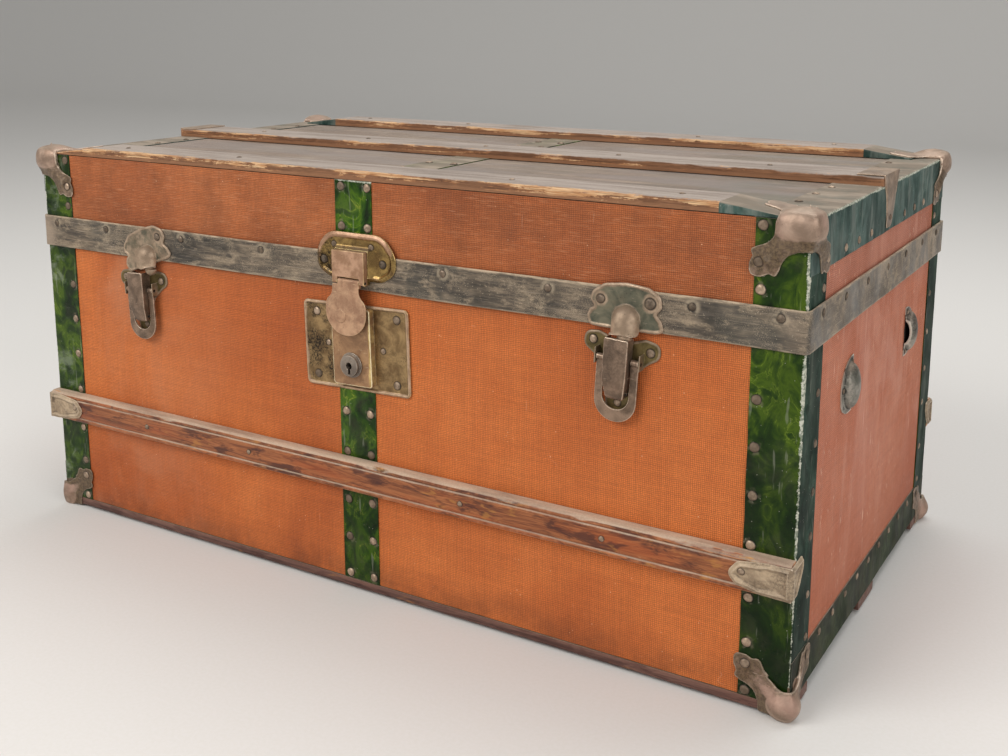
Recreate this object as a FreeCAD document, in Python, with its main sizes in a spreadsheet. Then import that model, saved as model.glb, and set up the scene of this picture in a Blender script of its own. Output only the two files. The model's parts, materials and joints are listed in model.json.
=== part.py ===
"""Flat-topped steamer trunk: wood carcass under canvas, sheet-metal bindings,
wood slats, pressed corner bumpers, centre hasp lock and two draw latches.

Box frame used below: X to the right, Y to the back, Z up, origin at the middle of
the underside of the box.  Every piece is then lifted by Dims.zshift and moved back
by Dims.yshift, so that the origin of the model is the middle of its footprint on
the surface it stands on.  Millimetres throughout.
"""
import FreeCAD, Part
import math
import os
import Sketcher

os.makedirs("parts", exist_ok=True)
V = FreeCAD.Vector
doc = FreeCAD.newDocument("steamer_trunk")
sheet = doc.addObject("Spreadsheet::Sheet", "Dims")

# ---------------------------------------------------------------- driving sizes
SIZES = [
    ("boxw", 812, "width of the box over the canvas"),
    ("boxd", 440, "depth of the box over the canvas"),
    ("boxh", 374, "height of the closed box over the canvas"),
    ("split", 290, "height of the joint between body and lid"),
    ("splitgap", 0.4, "gap between the rims"),
    ("zshift", 11.5, "underside of the box above the surface it stands on"),
    ("yshift", 0.434, "shift that centres the footprint"),
    ("canvas", 0.8, "canvas thickness"),
    ("board", 11, "side board thickness"),
    ("topboard", 10, "lid and floor board thickness"),
    ("tin", 0.8, "sheet metal binding thickness"),
    ("bindw", 41, "corner binding width on each face"),
    ("endbot", 36, "binding height at the foot of the ends"),
    ("endtop", 40, "binding height at the top of the ends"),
    ("toplap", 42, "lap of the end binding onto the top"),
    ("underlap", 30, "lap of the end binding under the floor"),
    ("stripw", 40, "centre strip width"),
    ("stripx", 1, "centre strip offset"),
    ("bandlo", 278, "lower edge of the valance band"),
    ("bandhi", 310, "upper edge of the valance band"),
    ("bandt", 2, "valance band thickness"),
    ("bandgap", 1.0, "clearance of the band over the body"),
    ("rearlo", 295, "lower edge of the rear band"),
    ("reart", 1.6, "rear band thickness"),
    ("slatt", 8.5, "top slat thickness"),
    ("slatw", 45, "outer slat width"),
    ("midw", 50, "middle slat width"),
    ("footslatt", 8, "bottom slat thickness"),
    ("slatend", 384, "half length of the outer top slats"),
    ("tapx", 335, "where the outer top slats start to taper"),
    ("tapt", 1.6, "thickness at the tapered ends"),
    ("rubz", 105, "height of the front and rear rubbing slats"),
    ("rubh", 30, "height of the rubbing slat section"),
    ("rubt", 10.8, "thickness of the rubbing slats"),
    ("plate", 1.2, "pressed steel thickness"),
    ("knobr", 18, "corner knob radius"),
    ("knobin", 8, "corner knob centre inside the side faces"),
    ("hingez", 290.2, "lid hinge axis height"),
    ("hingeout", 5.0, "lid hinge axis behind the rear face"),
    ("knuckler", 3.2, "lid hinge knuckle radius"),
    ("pinr", 1.6, "lid hinge pin radius"),
    ("hingex", 270, "lid hinge position either side of the middle"),
    ("hingew", 60, "lid hinge width"),
    ("lockx", 1.6, "lock plate centre"),
    ("lockz", 224.3, "lock plate centre height"),
    ("locktilt", 1.6, "lock plate tilt, right side up"),
    ("lockw", 116.5, "lock plate width"),
    ("lockh", 79.6, "lock plate height"),
    ("casew", 42.6, "lock case width"),
    ("caseh", 71, "lock case height"),
    ("cased", 7, "lock case depth"),
    ("nozzler", 9.6, "keyhole nozzle radius"),
    ("nozzleout", 5, "keyhole nozzle length"),
    ("keyr", 3.2, "key barrel hole radius"),
    ("haspz", 286.5, "hasp hinge axis height"),
    ("haspout", 10.8, "hasp hinge axis in front of the front face"),
    ("haspkr", 2.4, "hasp knuckle radius"),
    ("hasppr", 1.3, "hasp pin radius"),
    ("latchx", 261.5, "right latch centre"),
    ("latchxl", -265.5, "left latch centre"),
    ("latchdrop", 7, "left latch sits lower than the right one"),
    ("latchtilt", 3.5, "tilt of the right latch, top to the right"),
    ("latchtiltl", -2.5, "tilt of the left latch"),
    ("catchturn", 20, "turn of the loose left catch plate about its last nail"),
    ("domer", 11.8, "catch dome radius"),
    ("capx", 23, "handle cap hood length"),
    ("capz", 14.5, "handle cap hood half height"),
    ("capout", 11, "handle cap projection"),
    ("capy", 90, "handle cap mouth either side of the middle"),
    ("capmidz", 222, "handle cap height"),
    ("nailr", 4.1, "nail head radius"),
    ("nailh", 1.9, "nail head height"),
    ("shankr", 1.1, "nail shank radius"),
    ("shankl", 7.5, "nail shank length"),
]
for row, (alias, value, note) in enumerate(SIZES, 1):
    sheet.set("A%d" % row, note)
    sheet.set("B%d" % row, str(value))
    sheet.setAlias("B%d" % row, alias)
doc.recompute()
G = {a: float(sheet.get(a)) for a, v, n in SIZES}

FINAL = []
EX = lambda s: str(s).replace("d.", "Dims.")


def keep(obj, label):
    obj.Label = label
    FINAL.append(obj)
    return obj


def shift(obj, x="0", y="0", z="0"):
    obj.setExpression("Placement.Base.x", EX(x))
    obj.setExpression("Placement.Base.y", EX("%s+d.yshift" % y))
    obj.setExpression("Placement.Base.z", EX("%s+d.zshift" % z))


def box(name, xs, ys, zs, final=False):
    """Box between pairs of sheet expressions."""
    o = doc.addObject("Part::Box", name)
    for prop, (lo, hi) in zip(("Length", "Width", "Height"), (xs, ys, zs)):
        o.setExpression(prop, EX("(%s)-(%s)" % (hi, lo)))
    o.setExpression("Placement.Base.x", EX(xs[0]))
    o.setExpression("Placement.Base.y", EX("(%s)%s" % (ys[0], "+d.yshift" if final else "")))
    o.setExpression("Placement.Base.z", EX("(%s)%s" % (zs[0], "+d.zshift" if final else "")))
    return keep(o, name) if final else o


def cyl(name, r, h, base, direction, angle=360):
    o = doc.addObject("Part::Cylinder", name)
    o.setExpression("Radius", EX(r))
    o.setExpression("Height", EX(h))
    o.Placement = FreeCAD.Placement(V(*base), FreeCAD.Rotation(V(0, 0, 1), V(*direction)))
    return o


def fuse(name, objs, label=None):
    o = doc.addObject("Part::MultiFuse", name)
    o.Shapes = objs
    o.Refine = True
    if label:
        shift(o)
        keep(o, label)
    return o


def cut(name, base, tool, label=None, refine=True):
    o = doc.addObject("Part::Cut", name)
    o.Base, o.Tool, o.Refine = base, tool, refine
    if label:
        shift(o)
        keep(o, label)
    return o


def common(name, base, tool):
    o = doc.addObject("Part::Common", name)
    o.Base, o.Tool, o.Refine = base, tool, True
    return o


def group(name, objs, label):
    o = doc.addObject("Part::Compound", name)
    o.Links = objs
    shift(o)
    return keep(o, label)


def mirror(name, src, normal, label=None, shifted=False):
    """Mirror about the middle of the box.  A shifted source is already in place."""
    o = doc.addObject("Part::Mirroring", name)
    o.Source = src
    o.Normal = V(*normal)
    if shifted:
        o.setExpression("Base.y", EX("d.yshift"))
    if label:
        if not shifted:
            shift(o)
        keep(o, label)
    return o


def rounded(pts):
    """Closed outline of lines and tangent arcs from (x, y, corner radius) points."""
    n, segs, ends = len(pts), [], []
    for i in range(n):
        p = V(pts[i][0], pts[i][1], 0)
        r = pts[i][2] if len(pts[i]) > 2 else 0
        a = V(pts[i - 1][0], pts[i - 1][1], 0) - p
        b = V(pts[(i + 1) % n][0], pts[(i + 1) % n][1], 0) - p
        la, lb = a.Length, b.Length
        a.normalize()
        b.normalize()
        ang = a.getAngle(b)
        if r <= 0 or abs(ang - math.pi) < 1e-3:
            ends.append((p, None, p))
            continue
        t = r / math.tan(ang / 2)
        lim = 0.49 * min(la, lb)
        if t > lim:
            t = lim
            r = t * math.tan(ang / 2)
        m = a + b
        m.normalize()
        c = p + m * (r / math.sin(ang / 2))
        ends.append((p + a * t, c - m * r, p + b * t))
    geo = []
    for i in range(n):
        p0, pm, p1 = ends[i]
        if pm is not None:
            geo.append(Part.Arc(p0, pm, p1))
        q = ends[(i + 1) % n][0]
        if (q - p1).Length > 1e-6:
            geo.append(Part.LineSegment(p1, q))
    return geo


def fill_sketch(sk, loops):
    for loop in loops:
        first = sk.GeometryCount
        for g in loop:
            sk.addGeometry(g, False)
        n = len(loop)
        if n == 1:
            continue
        for i in range(n):
            j = (i + 1) % n
            e = 2
            a, b = first + i, first + j
            pa = [sk.getPoint(a, 1), sk.getPoint(a, 2)]
            pb = [sk.getPoint(b, 1), sk.getPoint(b, 2)]
            best = min(((pa[x] - pb[y]).Length, x, y) for x in (0, 1) for y in (0, 1))
            sk.addConstraint(Sketcher.Constraint("Coincident", a, best[1] + 1, b, best[2] + 1))


ROT = {
    "XY": FreeCAD.Rotation(V(1, 0, 0), V(0, 1, 0), V(0, 0, 1), "ZXY"),
    "XZ": FreeCAD.Rotation(V(1, 0, 0), V(0, 0, 1), V(0, -1, 0), "ZXY"),
    "YZ": FreeCAD.Rotation(V(0, 1, 0), V(0, 0, 1), V(1, 0, 0), "ZXY"),
}


def prism(name, loops, plane, at, length):
    """Sketch on a principal plane moved to `at`, extruded along the plane normal
    (+Z for XY, -Y for XZ, +X for YZ) by a sheet expression."""
    sk = doc.addObject("Sketcher::SketchObject", name + "_profile")
    sk.Placement = FreeCAD.Placement(V(*at), ROT[plane])
    fill_sketch(sk, loops)
    o = doc.addObject("Part::Extrusion", name)
    o.Base = sk
    o.DirMode = "Normal"
    o.setExpression("LengthFwd", EX(length))
    o.Solid = True
    return o


def origin_plane(body, role):
    return next(o for o in body.Origin.OriginFeatures if o.Role == role)


def body_new(name, place=None, label=None):
    b = doc.addObject("PartDesign::Body", name)
    if label:
        keep(b, label)
    if place is None:
        shift(b)
    return b


def pad(b, name, loops, role, offset, length, symmetric=False, pocket=False):
    sk = b.newObject("Sketcher::SketchObject", name + "_sketch")
    sk.AttachmentSupport = [(origin_plane(b, role), "")]
    sk.MapMode = "FlatFace"
    sk.setExpression("AttachmentOffset.Base.z", EX(offset))
    fill_sketch(sk, loops)
    f = b.newObject("PartDesign::Pocket" if pocket else "PartDesign::Pad", name)
    f.Profile = sk
    if symmetric:
        f.Midplane = True
    f.setExpression("Length", EX(length))
    return f


def circle(x, y, r):
    return [Part.Circle(V(x, y, 0), V(0, 0, 1), r)]


def rect(x0, y0, x1, y1, r=0):
    return rounded([(x0, y0, r), (x1, y0, r), (x1, y1, r), (x0, y1, r)])


hw, hd = "d.boxw/2", "d.boxd/2"
W2, D2 = G["boxw"] / 2, G["boxd"] / 2
tin = G["tin"]

# ---------------------------------------------------------------- wood carcass
ci, cd = "(%s-d.canvas)" % hw, "(%s-d.canvas)" % hd
xi, yi = "(%s-d.board)" % ci, "(%s-d.board)" % cd
full_x, full_y = ("-" + ci, ci), ("-" + cd, cd)
in_x, in_y = ("-" + xi, xi), ("-" + yi, yi)
bz = ("d.canvas", "d.split")
lz = ("d.split+d.splitgap", "d.boxh-d.canvas-d.topboard")
for part_name, zz in (("body", bz), ("lid", lz)):
    box(part_name + "_front_board", full_x, ("-" + cd, "-" + yi), zz, True)
    box(part_name + "_rear_board", full_x, (yi, cd), zz, True)
    box(part_name + "_left_board", ("-" + ci, "-" + xi), in_y, zz, True)
    box(part_name + "_right_board", (xi, ci), in_y, zz, True)
box("body_floor_board", in_x, in_y, ("d.canvas", "d.canvas+d.topboard"), True)
box("lid_top_board", full_x, full_y, ("d.boxh-d.canvas-d.topboard", "d.boxh-d.canvas"), True)

# canvas, glued on as one skin over the body and one over the lid
out_x, out_y = ("-" + hw, hw), ("-" + hd, hd)
cut("body_canvas_cut",
    box("body_canvas_outer", out_x, out_y, ("0", "d.split")),
    box("body_canvas_inner", full_x, full_y, ("d.canvas", "d.split+10")), "body_canvas")
cut("lid_canvas_cut",
    box("lid_canvas_outer", out_x, out_y, ("d.split+d.splitgap", "d.boxh")),
    box("lid_canvas_inner", full_x, full_y, ("d.split-10", "d.boxh-d.canvas")), "lid_canvas")

# ---------------------------------------------------------------- bindings
def span(sign, a, b):
    return (a, b) if sign > 0 else ("-(%s)" % b, "-(%s)" % a)


def corner_binding(tag, sx, sy, zfront, zside):
    xo = "(%s+d.tin)" % hw
    f = box(tag + "_f", span(sx, "%s-d.bindw" % xo, xo), span(sy, hd, "%s+d.tin" % hd), zfront)
    s = box(tag + "_s", span(sx, hw, xo), span(sy, "%s+d.tin-d.bindw" % hd, hd), zside)
    return fuse(tag, [f, s])


sides = [("fl", -1, -1), ("fr", 1, -1), ("rl", -1, 1), ("rr", 1, 1)]
group("body_corner_bindings_set",
      [corner_binding("bcb_" + t, sx, sy, ("0", "d.split"), ("d.endbot", "d.split")) for t, sx, sy in sides],
      "body_corner_bindings")
group("lid_corner_bindings_set",
      [corner_binding("lcb_" + t, sx, sy, ("d.split+d.splitgap", "d.boxh"),
                      ("d.split+d.splitgap", "d.boxh-d.endtop")) for t, sx, sy in sides],
      "lid_corner_bindings")
for tag, sx in (("left", -1), ("right", 1)):
    xo = "(%s+d.tin)" % hw
    a = box("beb_a_" + tag, span(sx, hw, xo), out_y, ("-d.tin", "d.endbot"))
    b = box("beb_b_" + tag, span(sx, "%s-d.underlap" % hw, hw), out_y, ("-d.tin", "0"))
    fuse("beb_" + tag, [a, b], "body_end_binding_" + tag)
    a = box("leb_a_" + tag, span(sx, hw, xo), out_y, ("d.boxh-d.endtop", "d.boxh+d.tin"))
    b = box("leb_b_" + tag, span(sx, "%s-d.toplap" % hw, hw), out_y, ("d.boxh", "d.boxh+d.tin"))
    fuse("leb_" + tag, [a, b], "lid_end_binding_" + tag)

sx0, sx1 = "d.stripx-d.stripw/2", "d.stripx+d.stripw/2"
outer = box("bcs_o", (sx0, sx1), ("-(%s+d.tin)" % hd, "%s+d.tin" % hd), ("-d.tin", "d.split"))
inner = box("bcs_i", ("-60", "60"), out_y, ("0", "d.split+9"))
cut("bcs", outer, inner, "body_centre_strip")
outer = box("lcs_o", (sx0, sx1), ("-(%s+d.tin)" % hd, "%s+d.tin" % hd), ("d.split+d.splitgap", "d.boxh+d.tin"))
inner = box("lcs_i", ("-60", "60"), out_y, ("d.split-9", "d.boxh"))
cut("lcs", outer, inner, "lid_centre_strip")

# valance bands on the lid: front and ends hang over the body, the rear one stops
# above the hinge knuckles
bo, bi = "(%s+d.bandgap+d.bandt)", "(%s+d.bandgap)"
bzs = ("d.bandlo", "d.bandhi")
front_band = box("band_front", ("-" + bo % hw, bo % hw), ("-" + bo % hd, "-" + bi % hd), bzs)
left_band = box("band_left", ("-" + bo % hw, "-" + bi % hw), ("-" + bi % hd, bi % hd), bzs)
right_band = box("band_right", (bi % hw, bo % hw), ("-" + bi % hd, bi % hd), bzs)
rear_band = box("band_rear", ("-" + bo % hw, bo % hw), (bi % hd, "%s+d.bandgap+d.reart" % hd), ("d.rearlo", "d.bandhi"))
group("lid_bands_set", [front_band, left_band, right_band, rear_band], "lid_valance_bands")

# ---------------------------------------------------------------- slats
sl0, sl1 = G["boxh"] + tin, G["boxh"] + tin + G["slatt"]


def top_slat_outer(name, label):
    """Outer top slat: full thickness in the middle, planed down to a thin end that
    runs under the corner bumper."""
    b = body_new(name, label=label)
    E, T = G["slatend"], G["tapx"]
    tt = sl0 + G["tapt"]
    pts = [(-E, sl0), (E, sl0), (E, tt), (T, sl1, 12), (-T, sl1, 12), (-E, tt)]
    pad(b, name + "_pad", [rounded(pts)], "XZ_Plane", "%s-d.slatw" % hd, "d.slatw+d.tin")
    return b


front_slat = top_slat_outer("tsf", "top_slat_front")
mirror("tsr", front_slat, (0, 1, 0), "top_slat_rear", shifted=True)
box("top_slat_middle", ("-(%s+d.tin)" % hw, "%s+d.tin" % hw), ("-d.midw/2", "d.midw/2"),
    ("d.boxh+d.tin", "d.boxh+d.tin+d.slatt"), True)
fz = ("-d.tin-d.footslatt", "-d.tin")
fx = ("-(%s+d.tin)" % hw, "%s+d.tin" % hw)
box("bottom_slat_front", fx, ("-(%s+d.tin)" % hd, "-(%s-d.slatw)" % hd), fz, True)
box("bottom_slat_middle", fx, ("-d.midw/2", "d.midw/2"), fz, True)
box("bottom_slat_rear", fx, ("%s-d.slatw" % hd, "%s+d.tin" % hd), fz, True)

# rubbing slats across the front and rear, a beaded section
h2, rt = G["rubh"] / 2, G["rubt"]
rz, y0 = G["rubz"], -(D2 + tin)
sec = [(y0, rz - h2), (y0 - 0.72 * rt, rz - h2, 1.5), (y0 - rt, rz - h2 + 2.2, 1.6), (y0 - rt, rz - h2 + 4.6, 1.0),
       (y0 - rt + 1.3, rz - h2 + 5.6), (y0 - rt, rz - h2 + 6.6, 0.8),
       (y0 - rt, rz + h2 - 6.6, 0.8), (y0 - rt + 1.3, rz + h2 - 5.6), (y0 - rt, rz + h2 - 4.6, 1.0),
       (y0 - rt, rz + h2 - 2.2, 1.6), (y0 - 0.72 * rt, rz + h2, 1.5), (y0, rz + h2)]
rub = body_new("rubf", label="front_slat")
pad(rub, "rubf_pad", [rounded(sec)], "YZ_Plane", "0", "d.boxw+2*d.tin", symmetric=True)
mirror("rubr", rub, (0, 1, 0), "rear_slat", shifted=True)

# pressed clamps bent round the ends of the rubbing slats
yo = D2 + tin + rt
clf = prism("clamp_face", [rounded([(357, rz - 1, 9), (366, rz + 10, 8), (388, rz + 13, 6), (W2 + tin + 1.2, rz + 13),
                                    (W2 + tin + 1.2, rz - 14), (383, rz - 13, 8), (364, rz - 9, 8)])],
            "XZ", (0, -yo, 0), "d.plate")
cls = prism("clamp_side", [rounded([(-yo, rz - 14), (-yo, rz + 13), (-208, rz + 15, 3), (-207, rz + 6, 4),
                                    (-214, rz - 5, 8), (-222, rz - 13, 4)])],
            "YZ", (W2 + tin, 0, 0), "d.plate")
clr = fuse("clamp_fr", [clf, cls])
cll = mirror("clamp_fl", clr, (1, 0, 0))
group("fsc", [cll, clr], "front_slat_clamps")
group("rsc", [mirror("clamp_rl", cll, (0, 1, 0)), mirror("clamp_rr", clr, (0, 1, 0))], "rear_slat_clamps")

# bent clamps over the ends of the middle top slat
tcz = sl1
tca = prism("tclamp_top", [rect(384, -25, W2 + tin + 1.2, 25, 0)], "XY", (0, 0, tcz), "d.plate")
tcb = prism("tclamp_side", [rounded([(-25, tcz), (25, tcz), (13, 362, 12), (9, 337, 5), (-9, 337, 5), (-13, 362, 12)])],
            "YZ", (W2 + tin, 0, 0), "d.plate")
tcr = fuse("tclamp_r", [tca, tcb])
group("tsc", [mirror("tclamp_l", tcr, (1, 0, 0)), tcr], "top_slat_clamps")

# ---------------------------------------------------------------- corner bumpers
LOBE = [(0, 0), (0, 24.5), (9, 25, 6), (16, 28, 8), (20, 33, 8), (22.5, 40, 8), (25, 44.5, 2.5), (30, 42.6, 2),
        (35, 45, 4), (45, 45, 7), (45, 35, 4), (42.6, 30, 2), (44.5, 25, 2.5), (40, 22.5, 8), (33, 20, 8),
        (28, 16, 8), (25, 9, 6), (24.5, 0, 3)]


def bumper(tag, ztip, zdir, knobz, legs_floor):
    """Three lobed legs on the faces of the front right corner and a round knob.
    ztip is the level of the corner of the outline, zdir the way to the outside."""
    xo, yo = W2 + tin, D2 + tin
    # the front leg runs on over the edge of the side leg, so that the two join
    wide = [(-G["plate"], 0), (-G["plate"], 24.5)] + LOBE[2:]
    fl = prism(tag + "_front", [rounded([(xo - p[0], ztip - zdir * p[1]) + tuple(p[2:]) for p in wide])],
               "XZ", (0, -yo, 0), "d.plate")
    sd = prism(tag + "_side", [rounded([(-yo + p[0], ztip - zdir * p[1]) + tuple(p[2:]) for p in LOBE])],
               "YZ", (xo, 0, 0), "d.plate")
    kb = doc.addObject("Part::Sphere", tag + "_knob")
    kb.setExpression("Radius", EX("d.knobr"))
    kb.Placement = FreeCAD.Placement(V(W2 - G["knobin"], -(D2 - G["knobin"]), knobz),
                                     FreeCAD.Rotation(V(0, 0, 1), V(-1, 0.15, -0.3) if zdir > 0 else V(0, 0, 1)))
    lv = prism(tag + "_flat", [rounded([(xo - p[0], -yo + p[1]) + tuple(p[2:]) for p in LOBE])],
               "XY", (0, 0, min(legs_floor, legs_floor + zdir * 16)), "16")
    return fl, sd, kb, lv


# lid corners: the top leg lies on the planed end of the slat
fl, sd, kb, lv = bumper("tb", 376.0, 1, 374 - 6.5, 374.0)
xa, ta = G["slatend"], sl0 + G["tapt"]
slope = (sl1 - ta) / (G["tapx"] - xa)
q = lambda x: ta + slope * (x - xa)
lay = prism("tb_layer", [rounded([(350, q(350)), (xa, ta), (xa + 2, ta - 0.6), (W2 + tin, ta - 0.6), (W2 + tin, ta + 0.7),
                                  (xa + 2, ta + 0.7), (xa, ta + 1.3), (350, q(350) + 1.3)])],
            "XZ", (0, -(D2 - 60), 0), "62")
top_leg = common("tb_topleg", lv, lay)
core = box("tb_core", ("300", "%s+d.tin" % hw), ("-(%s+d.tin)" % hd, "0"), ("0", "d.boxh+d.tin"))
slat_tool = prism("tb_slat", [rounded([(300, sl0 - 1), (xa, sl0 - 1), (xa, ta), (300, q(300))])],
                  "XZ", (0, -(D2 - G["slatw"]), 0), "d.slatw+d.tin")
raw = fuse("tb_raw", [fl, sd, kb, top_leg])
tb_fr = cut("tb_fr", cut("tb_fr0", raw, core), slat_tool)
tb_fl = mirror("tb_fl", tb_fr, (1, 0, 0))
group("top_bumpers_set", [tb_fl, tb_fr, mirror("tb_rl", tb_fl, (0, 1, 0)), mirror("tb_rr", tb_fr, (0, 1, 0))],
      "top_bumpers")

# body corners: the lower leg laps under the bottom slat, the knob carries the trunk
low = -(tin + G["footslatt"])
fl, sd, kb, lv = bumper("bb", low - 1.2, -1, 6.1, low)
under = prism("bb_under", [rounded([(W2 + tin - p[0], -D2 - tin + p[1]) + tuple(p[2:]) for p in LOBE])],
              "XY", (0, 0, low - 1.2), "d.plate")
doc.removeObject(lv.Name)
core = box("bb_core", ("300", "%s+d.tin" % hw), ("-(%s+d.tin)" % hd, "0"), ("-d.tin-d.footslatt", "200"))
pads = box("bb_floor", ("300", "500"), ("-400", "0"), ("-40", "-d.zshift"))
raw = fuse("bb_raw", [fl, sd, kb, under])
bb_fr = cut("bb_fr", cut("bb_fr0", raw, core), pads)
bb_fl = mirror("bb_fl", bb_fr, (1, 0, 0))
group("bottom_bumpers_set", [bb_fl, bb_fr, mirror("bb_rl", bb_fl, (0, 1, 0)), mirror("bb_rr", bb_fr, (0, 1, 0))],
      "bottom_bumpers")


# ---------------------------------------------------------------- lock
def set_place(obj, x, z, out, tilt):
    """Local frame of a front fitting: X across, Z up, its back on the front face."""
    obj.setExpression("Placement.Base.x", EX(x))
    obj.setExpression("Placement.Base.y", EX("-(%s)-(%s)+d.yshift" % (hd, out)))
    obj.setExpression("Placement.Base.z", EX("(%s)+d.zshift" % z))
    obj.Placement.Rotation = FreeCAD.Rotation(V(0, 1, 0), 0)
    obj.setExpression("Placement.Rotation.Axis.x", "0")
    obj.setExpression("Placement.Rotation.Axis.y", "1")
    obj.setExpression("Placement.Rotation.Axis.z", "0")
    obj.setExpression("Placement.Rotation.Angle", EX(tilt))


lw, lh = G["lockw"] / 2, G["lockh"] / 2
b = body_new("lockplate", place=1, label="lock_plate")
pad(b, "lockplate_pad", [rect(-lw, -lh, lw, lh, 5)], "XZ_Plane", "d.tin", "d.plate")
pad(b, "lockplate_dish", [rect(-lw + 2.3, -lh + 2.3, lw - 2.3, lh - 2.3, 3)], "XZ_Plane", "d.tin+d.plate*0.5", "d.plate*0.5",
    pocket=True).Reversed = True
set_place(b, "d.lockx", "d.lockz", "0", "-d.locktilt")

# case: a pressed cover on the plate, open at the back, with a slot for the staple
c0x, c0z = -0.5, 1.8                  # case centre in the plate's frame
cw, ch = G["casew"] / 2, G["caseh"] / 2
c_out = tin + 0.6
b = body_new("lockcase", place=1, label="lock_case")
pad(b, "lockcase_pad", [rect(c0x - cw, c0z - ch, c0x + cw, c0z + ch, 3)], "XZ_Plane", "d.tin+d.plate*0.5", "d.cased")
f = pad(b, "lockcase_hollow", [rect(c0x - cw + 1.2, c0z - ch + 1.2, c0x + cw - 1.2, c0z + ch - 1.2, 2)], "XZ_Plane",
        "d.tin+d.plate*0.5", "d.cased-d.plate", pocket=True)
f.Reversed = True
sx_ = -2.6
f = pad(b, "lockcase_slot", [rect(sx_ - 3.2, 20.6, sx_ + 3.2, c0z + ch + 1)], "XZ_Plane", "d.tin+d.plate*0.5",
        "d.cased+1", pocket=True)
f.Reversed = True
f = pad(b, "lockcase_hole", [circle(-0.5, -14.3, 7.2)], "XZ_Plane", "d.tin+d.plate*0.5", "d.cased+1", pocket=True)
f.Reversed = True
set_place(b, "d.lockx", "d.lockz", "0", "-d.locktilt")

# keyhole nozzle: collar, tube and keyway
c_face = tin + 0.6 + G["cased"]
b = body_new("nozzle", place=1, label="keyhole_nozzle")
pad(b, "nozzle_collar", [circle(-0.5, -14.3, 11.5)], "XZ_Plane", "d.tin+d.plate*0.5+d.cased", "1.4")
pad(b, "nozzle_tube", [circle(-0.5, -14.3, G["nozzler"])], "XZ_Plane", "d.tin+d.plate*0.5+d.cased", "d.nozzleout")
pad(b, "nozzle_neck", [circle(-0.5, -14.3, 7.1)], "XZ_Plane", "d.tin+d.plate*0.5+d.cased-d.plate", "d.plate")
f = pad(b, "nozzle_bore", [circle(-0.5, -14.3, G["keyr"])], "XZ_Plane", "d.tin", "30", pocket=True)
f.Reversed = True
f = pad(b, "nozzle_way", [rect(-1.9, -22.2, 0.9, -14.3, 0)], "XZ_Plane", "d.tin", "30", pocket=True)
f.Reversed = True
set_place(b, "d.lockx", "d.lockz", "0", "-d.locktilt")

# sliding bolt inside the case, thrown through the eye of the hasp staple
b = body_new("bolt", place=1, label="lock_bolt")
pad(b, "bolt_bar", [rect(-18.5, 25.2, -6.6, 28.2, 0)], "XZ_Plane", "4.6", "2.4")
pad(b, "bolt_tail", [rect(-18.5, 8.0, -14.5, 28.2, 0)], "XZ_Plane", "1.5", "5.6")
set_place(b, "d.lockx", "d.lockz", "0", "-d.locktilt")

# ---------------------------------------------------------------- hasp
# oval plate on the lid with a raised block that ends in two hinge ears
hz = G["haspz"]
b = body_new("haspplate", place=1, label="hasp_plate")
oval = rounded([(-43, -14, 13), (-43, 6, 20), (-30, 21, 26), (30, 21, 26), (43, 4, 20), (43, -12, 14), (28, -21, 14),
                (-28, -21, 14)])
HX, HZ = 5.3, 308.0
pad(b, "haspplate_pad", [oval], "XZ_Plane", "d.bandgap+d.bandt", "d.plate")
ob, oh = G["bandgap"] + G["bandt"] + G["plate"], G["haspout"] + G["haspkr"] - 0.2
bx0, bx1 = -14.8 - HX, 20.2 - HX
pad(b, "haspplate_block", [rect(bx0, hz + 3.7 - HZ, bx1, 313.8 - HZ, 0)], "XZ_Plane", "d.bandgap+d.bandt+d.plate",
    "d.haspout+d.haspkr-0.2-d.bandgap-d.bandt-d.plate")
set_place(b, str(HX), str(HZ), "0", "0")
haspbody = b
ears = []
for i, (x0, x1) in enumerate(((-14.8, -9.4), (14.8, 20.2))):
    yb0, yb1 = -(D2 + G["haspout"]), -(D2 + ob)
    e1 = box("hasp_ear%d" % i, (str(x0), str(x1)), ("-(%s+d.haspout)" % hd, "-(%s+%g)" % (hd, ob - 0.2)),
             ("d.haspz-d.haspkr", "d.haspz+4"))
    e2 = cyl("hasp_earc%d" % i, "d.haspkr", str(x1 - x0), (x0, -(D2 + G["haspout"]), hz), (1, 0, 0))
    e3 = box("hasp_eart%d" % i, (str(x0), str(x1)), ("-(%s+%g)" % (hd, oh), "-(%s+d.haspout)" % hd),
             ("d.haspz+1.2", "d.haspz+4"))
    ears += [e1, e2, e3]
FINAL.remove(haspbody)
haspbody.Label = "hasp_plate_body"
eu = fuse("hasp_ears", ears)
# the ears are bent from the same sheet: join them to the plate and clear the pin hole
def unshift(o):
    """Copy of a placed body in the box frame, for a boolean with box-frame tools."""
    t = doc.addObject("Part::Compound", o.Name + "_local")
    t.Links = [o]
    t.setExpression("Placement.Base.y", EX("-d.yshift"))
    t.setExpression("Placement.Base.z", EX("-d.zshift"))
    return t


hp = fuse("hasp_plate_joined", [unshift(haspbody), eu])
hole = cyl("hasp_hole", "d.hasppr", "60", (-30, -(D2 + G["haspout"]), hz), (1, 0, 0))
cut("hasp_plate_final", hp, hole, "hasp_plate")

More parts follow.
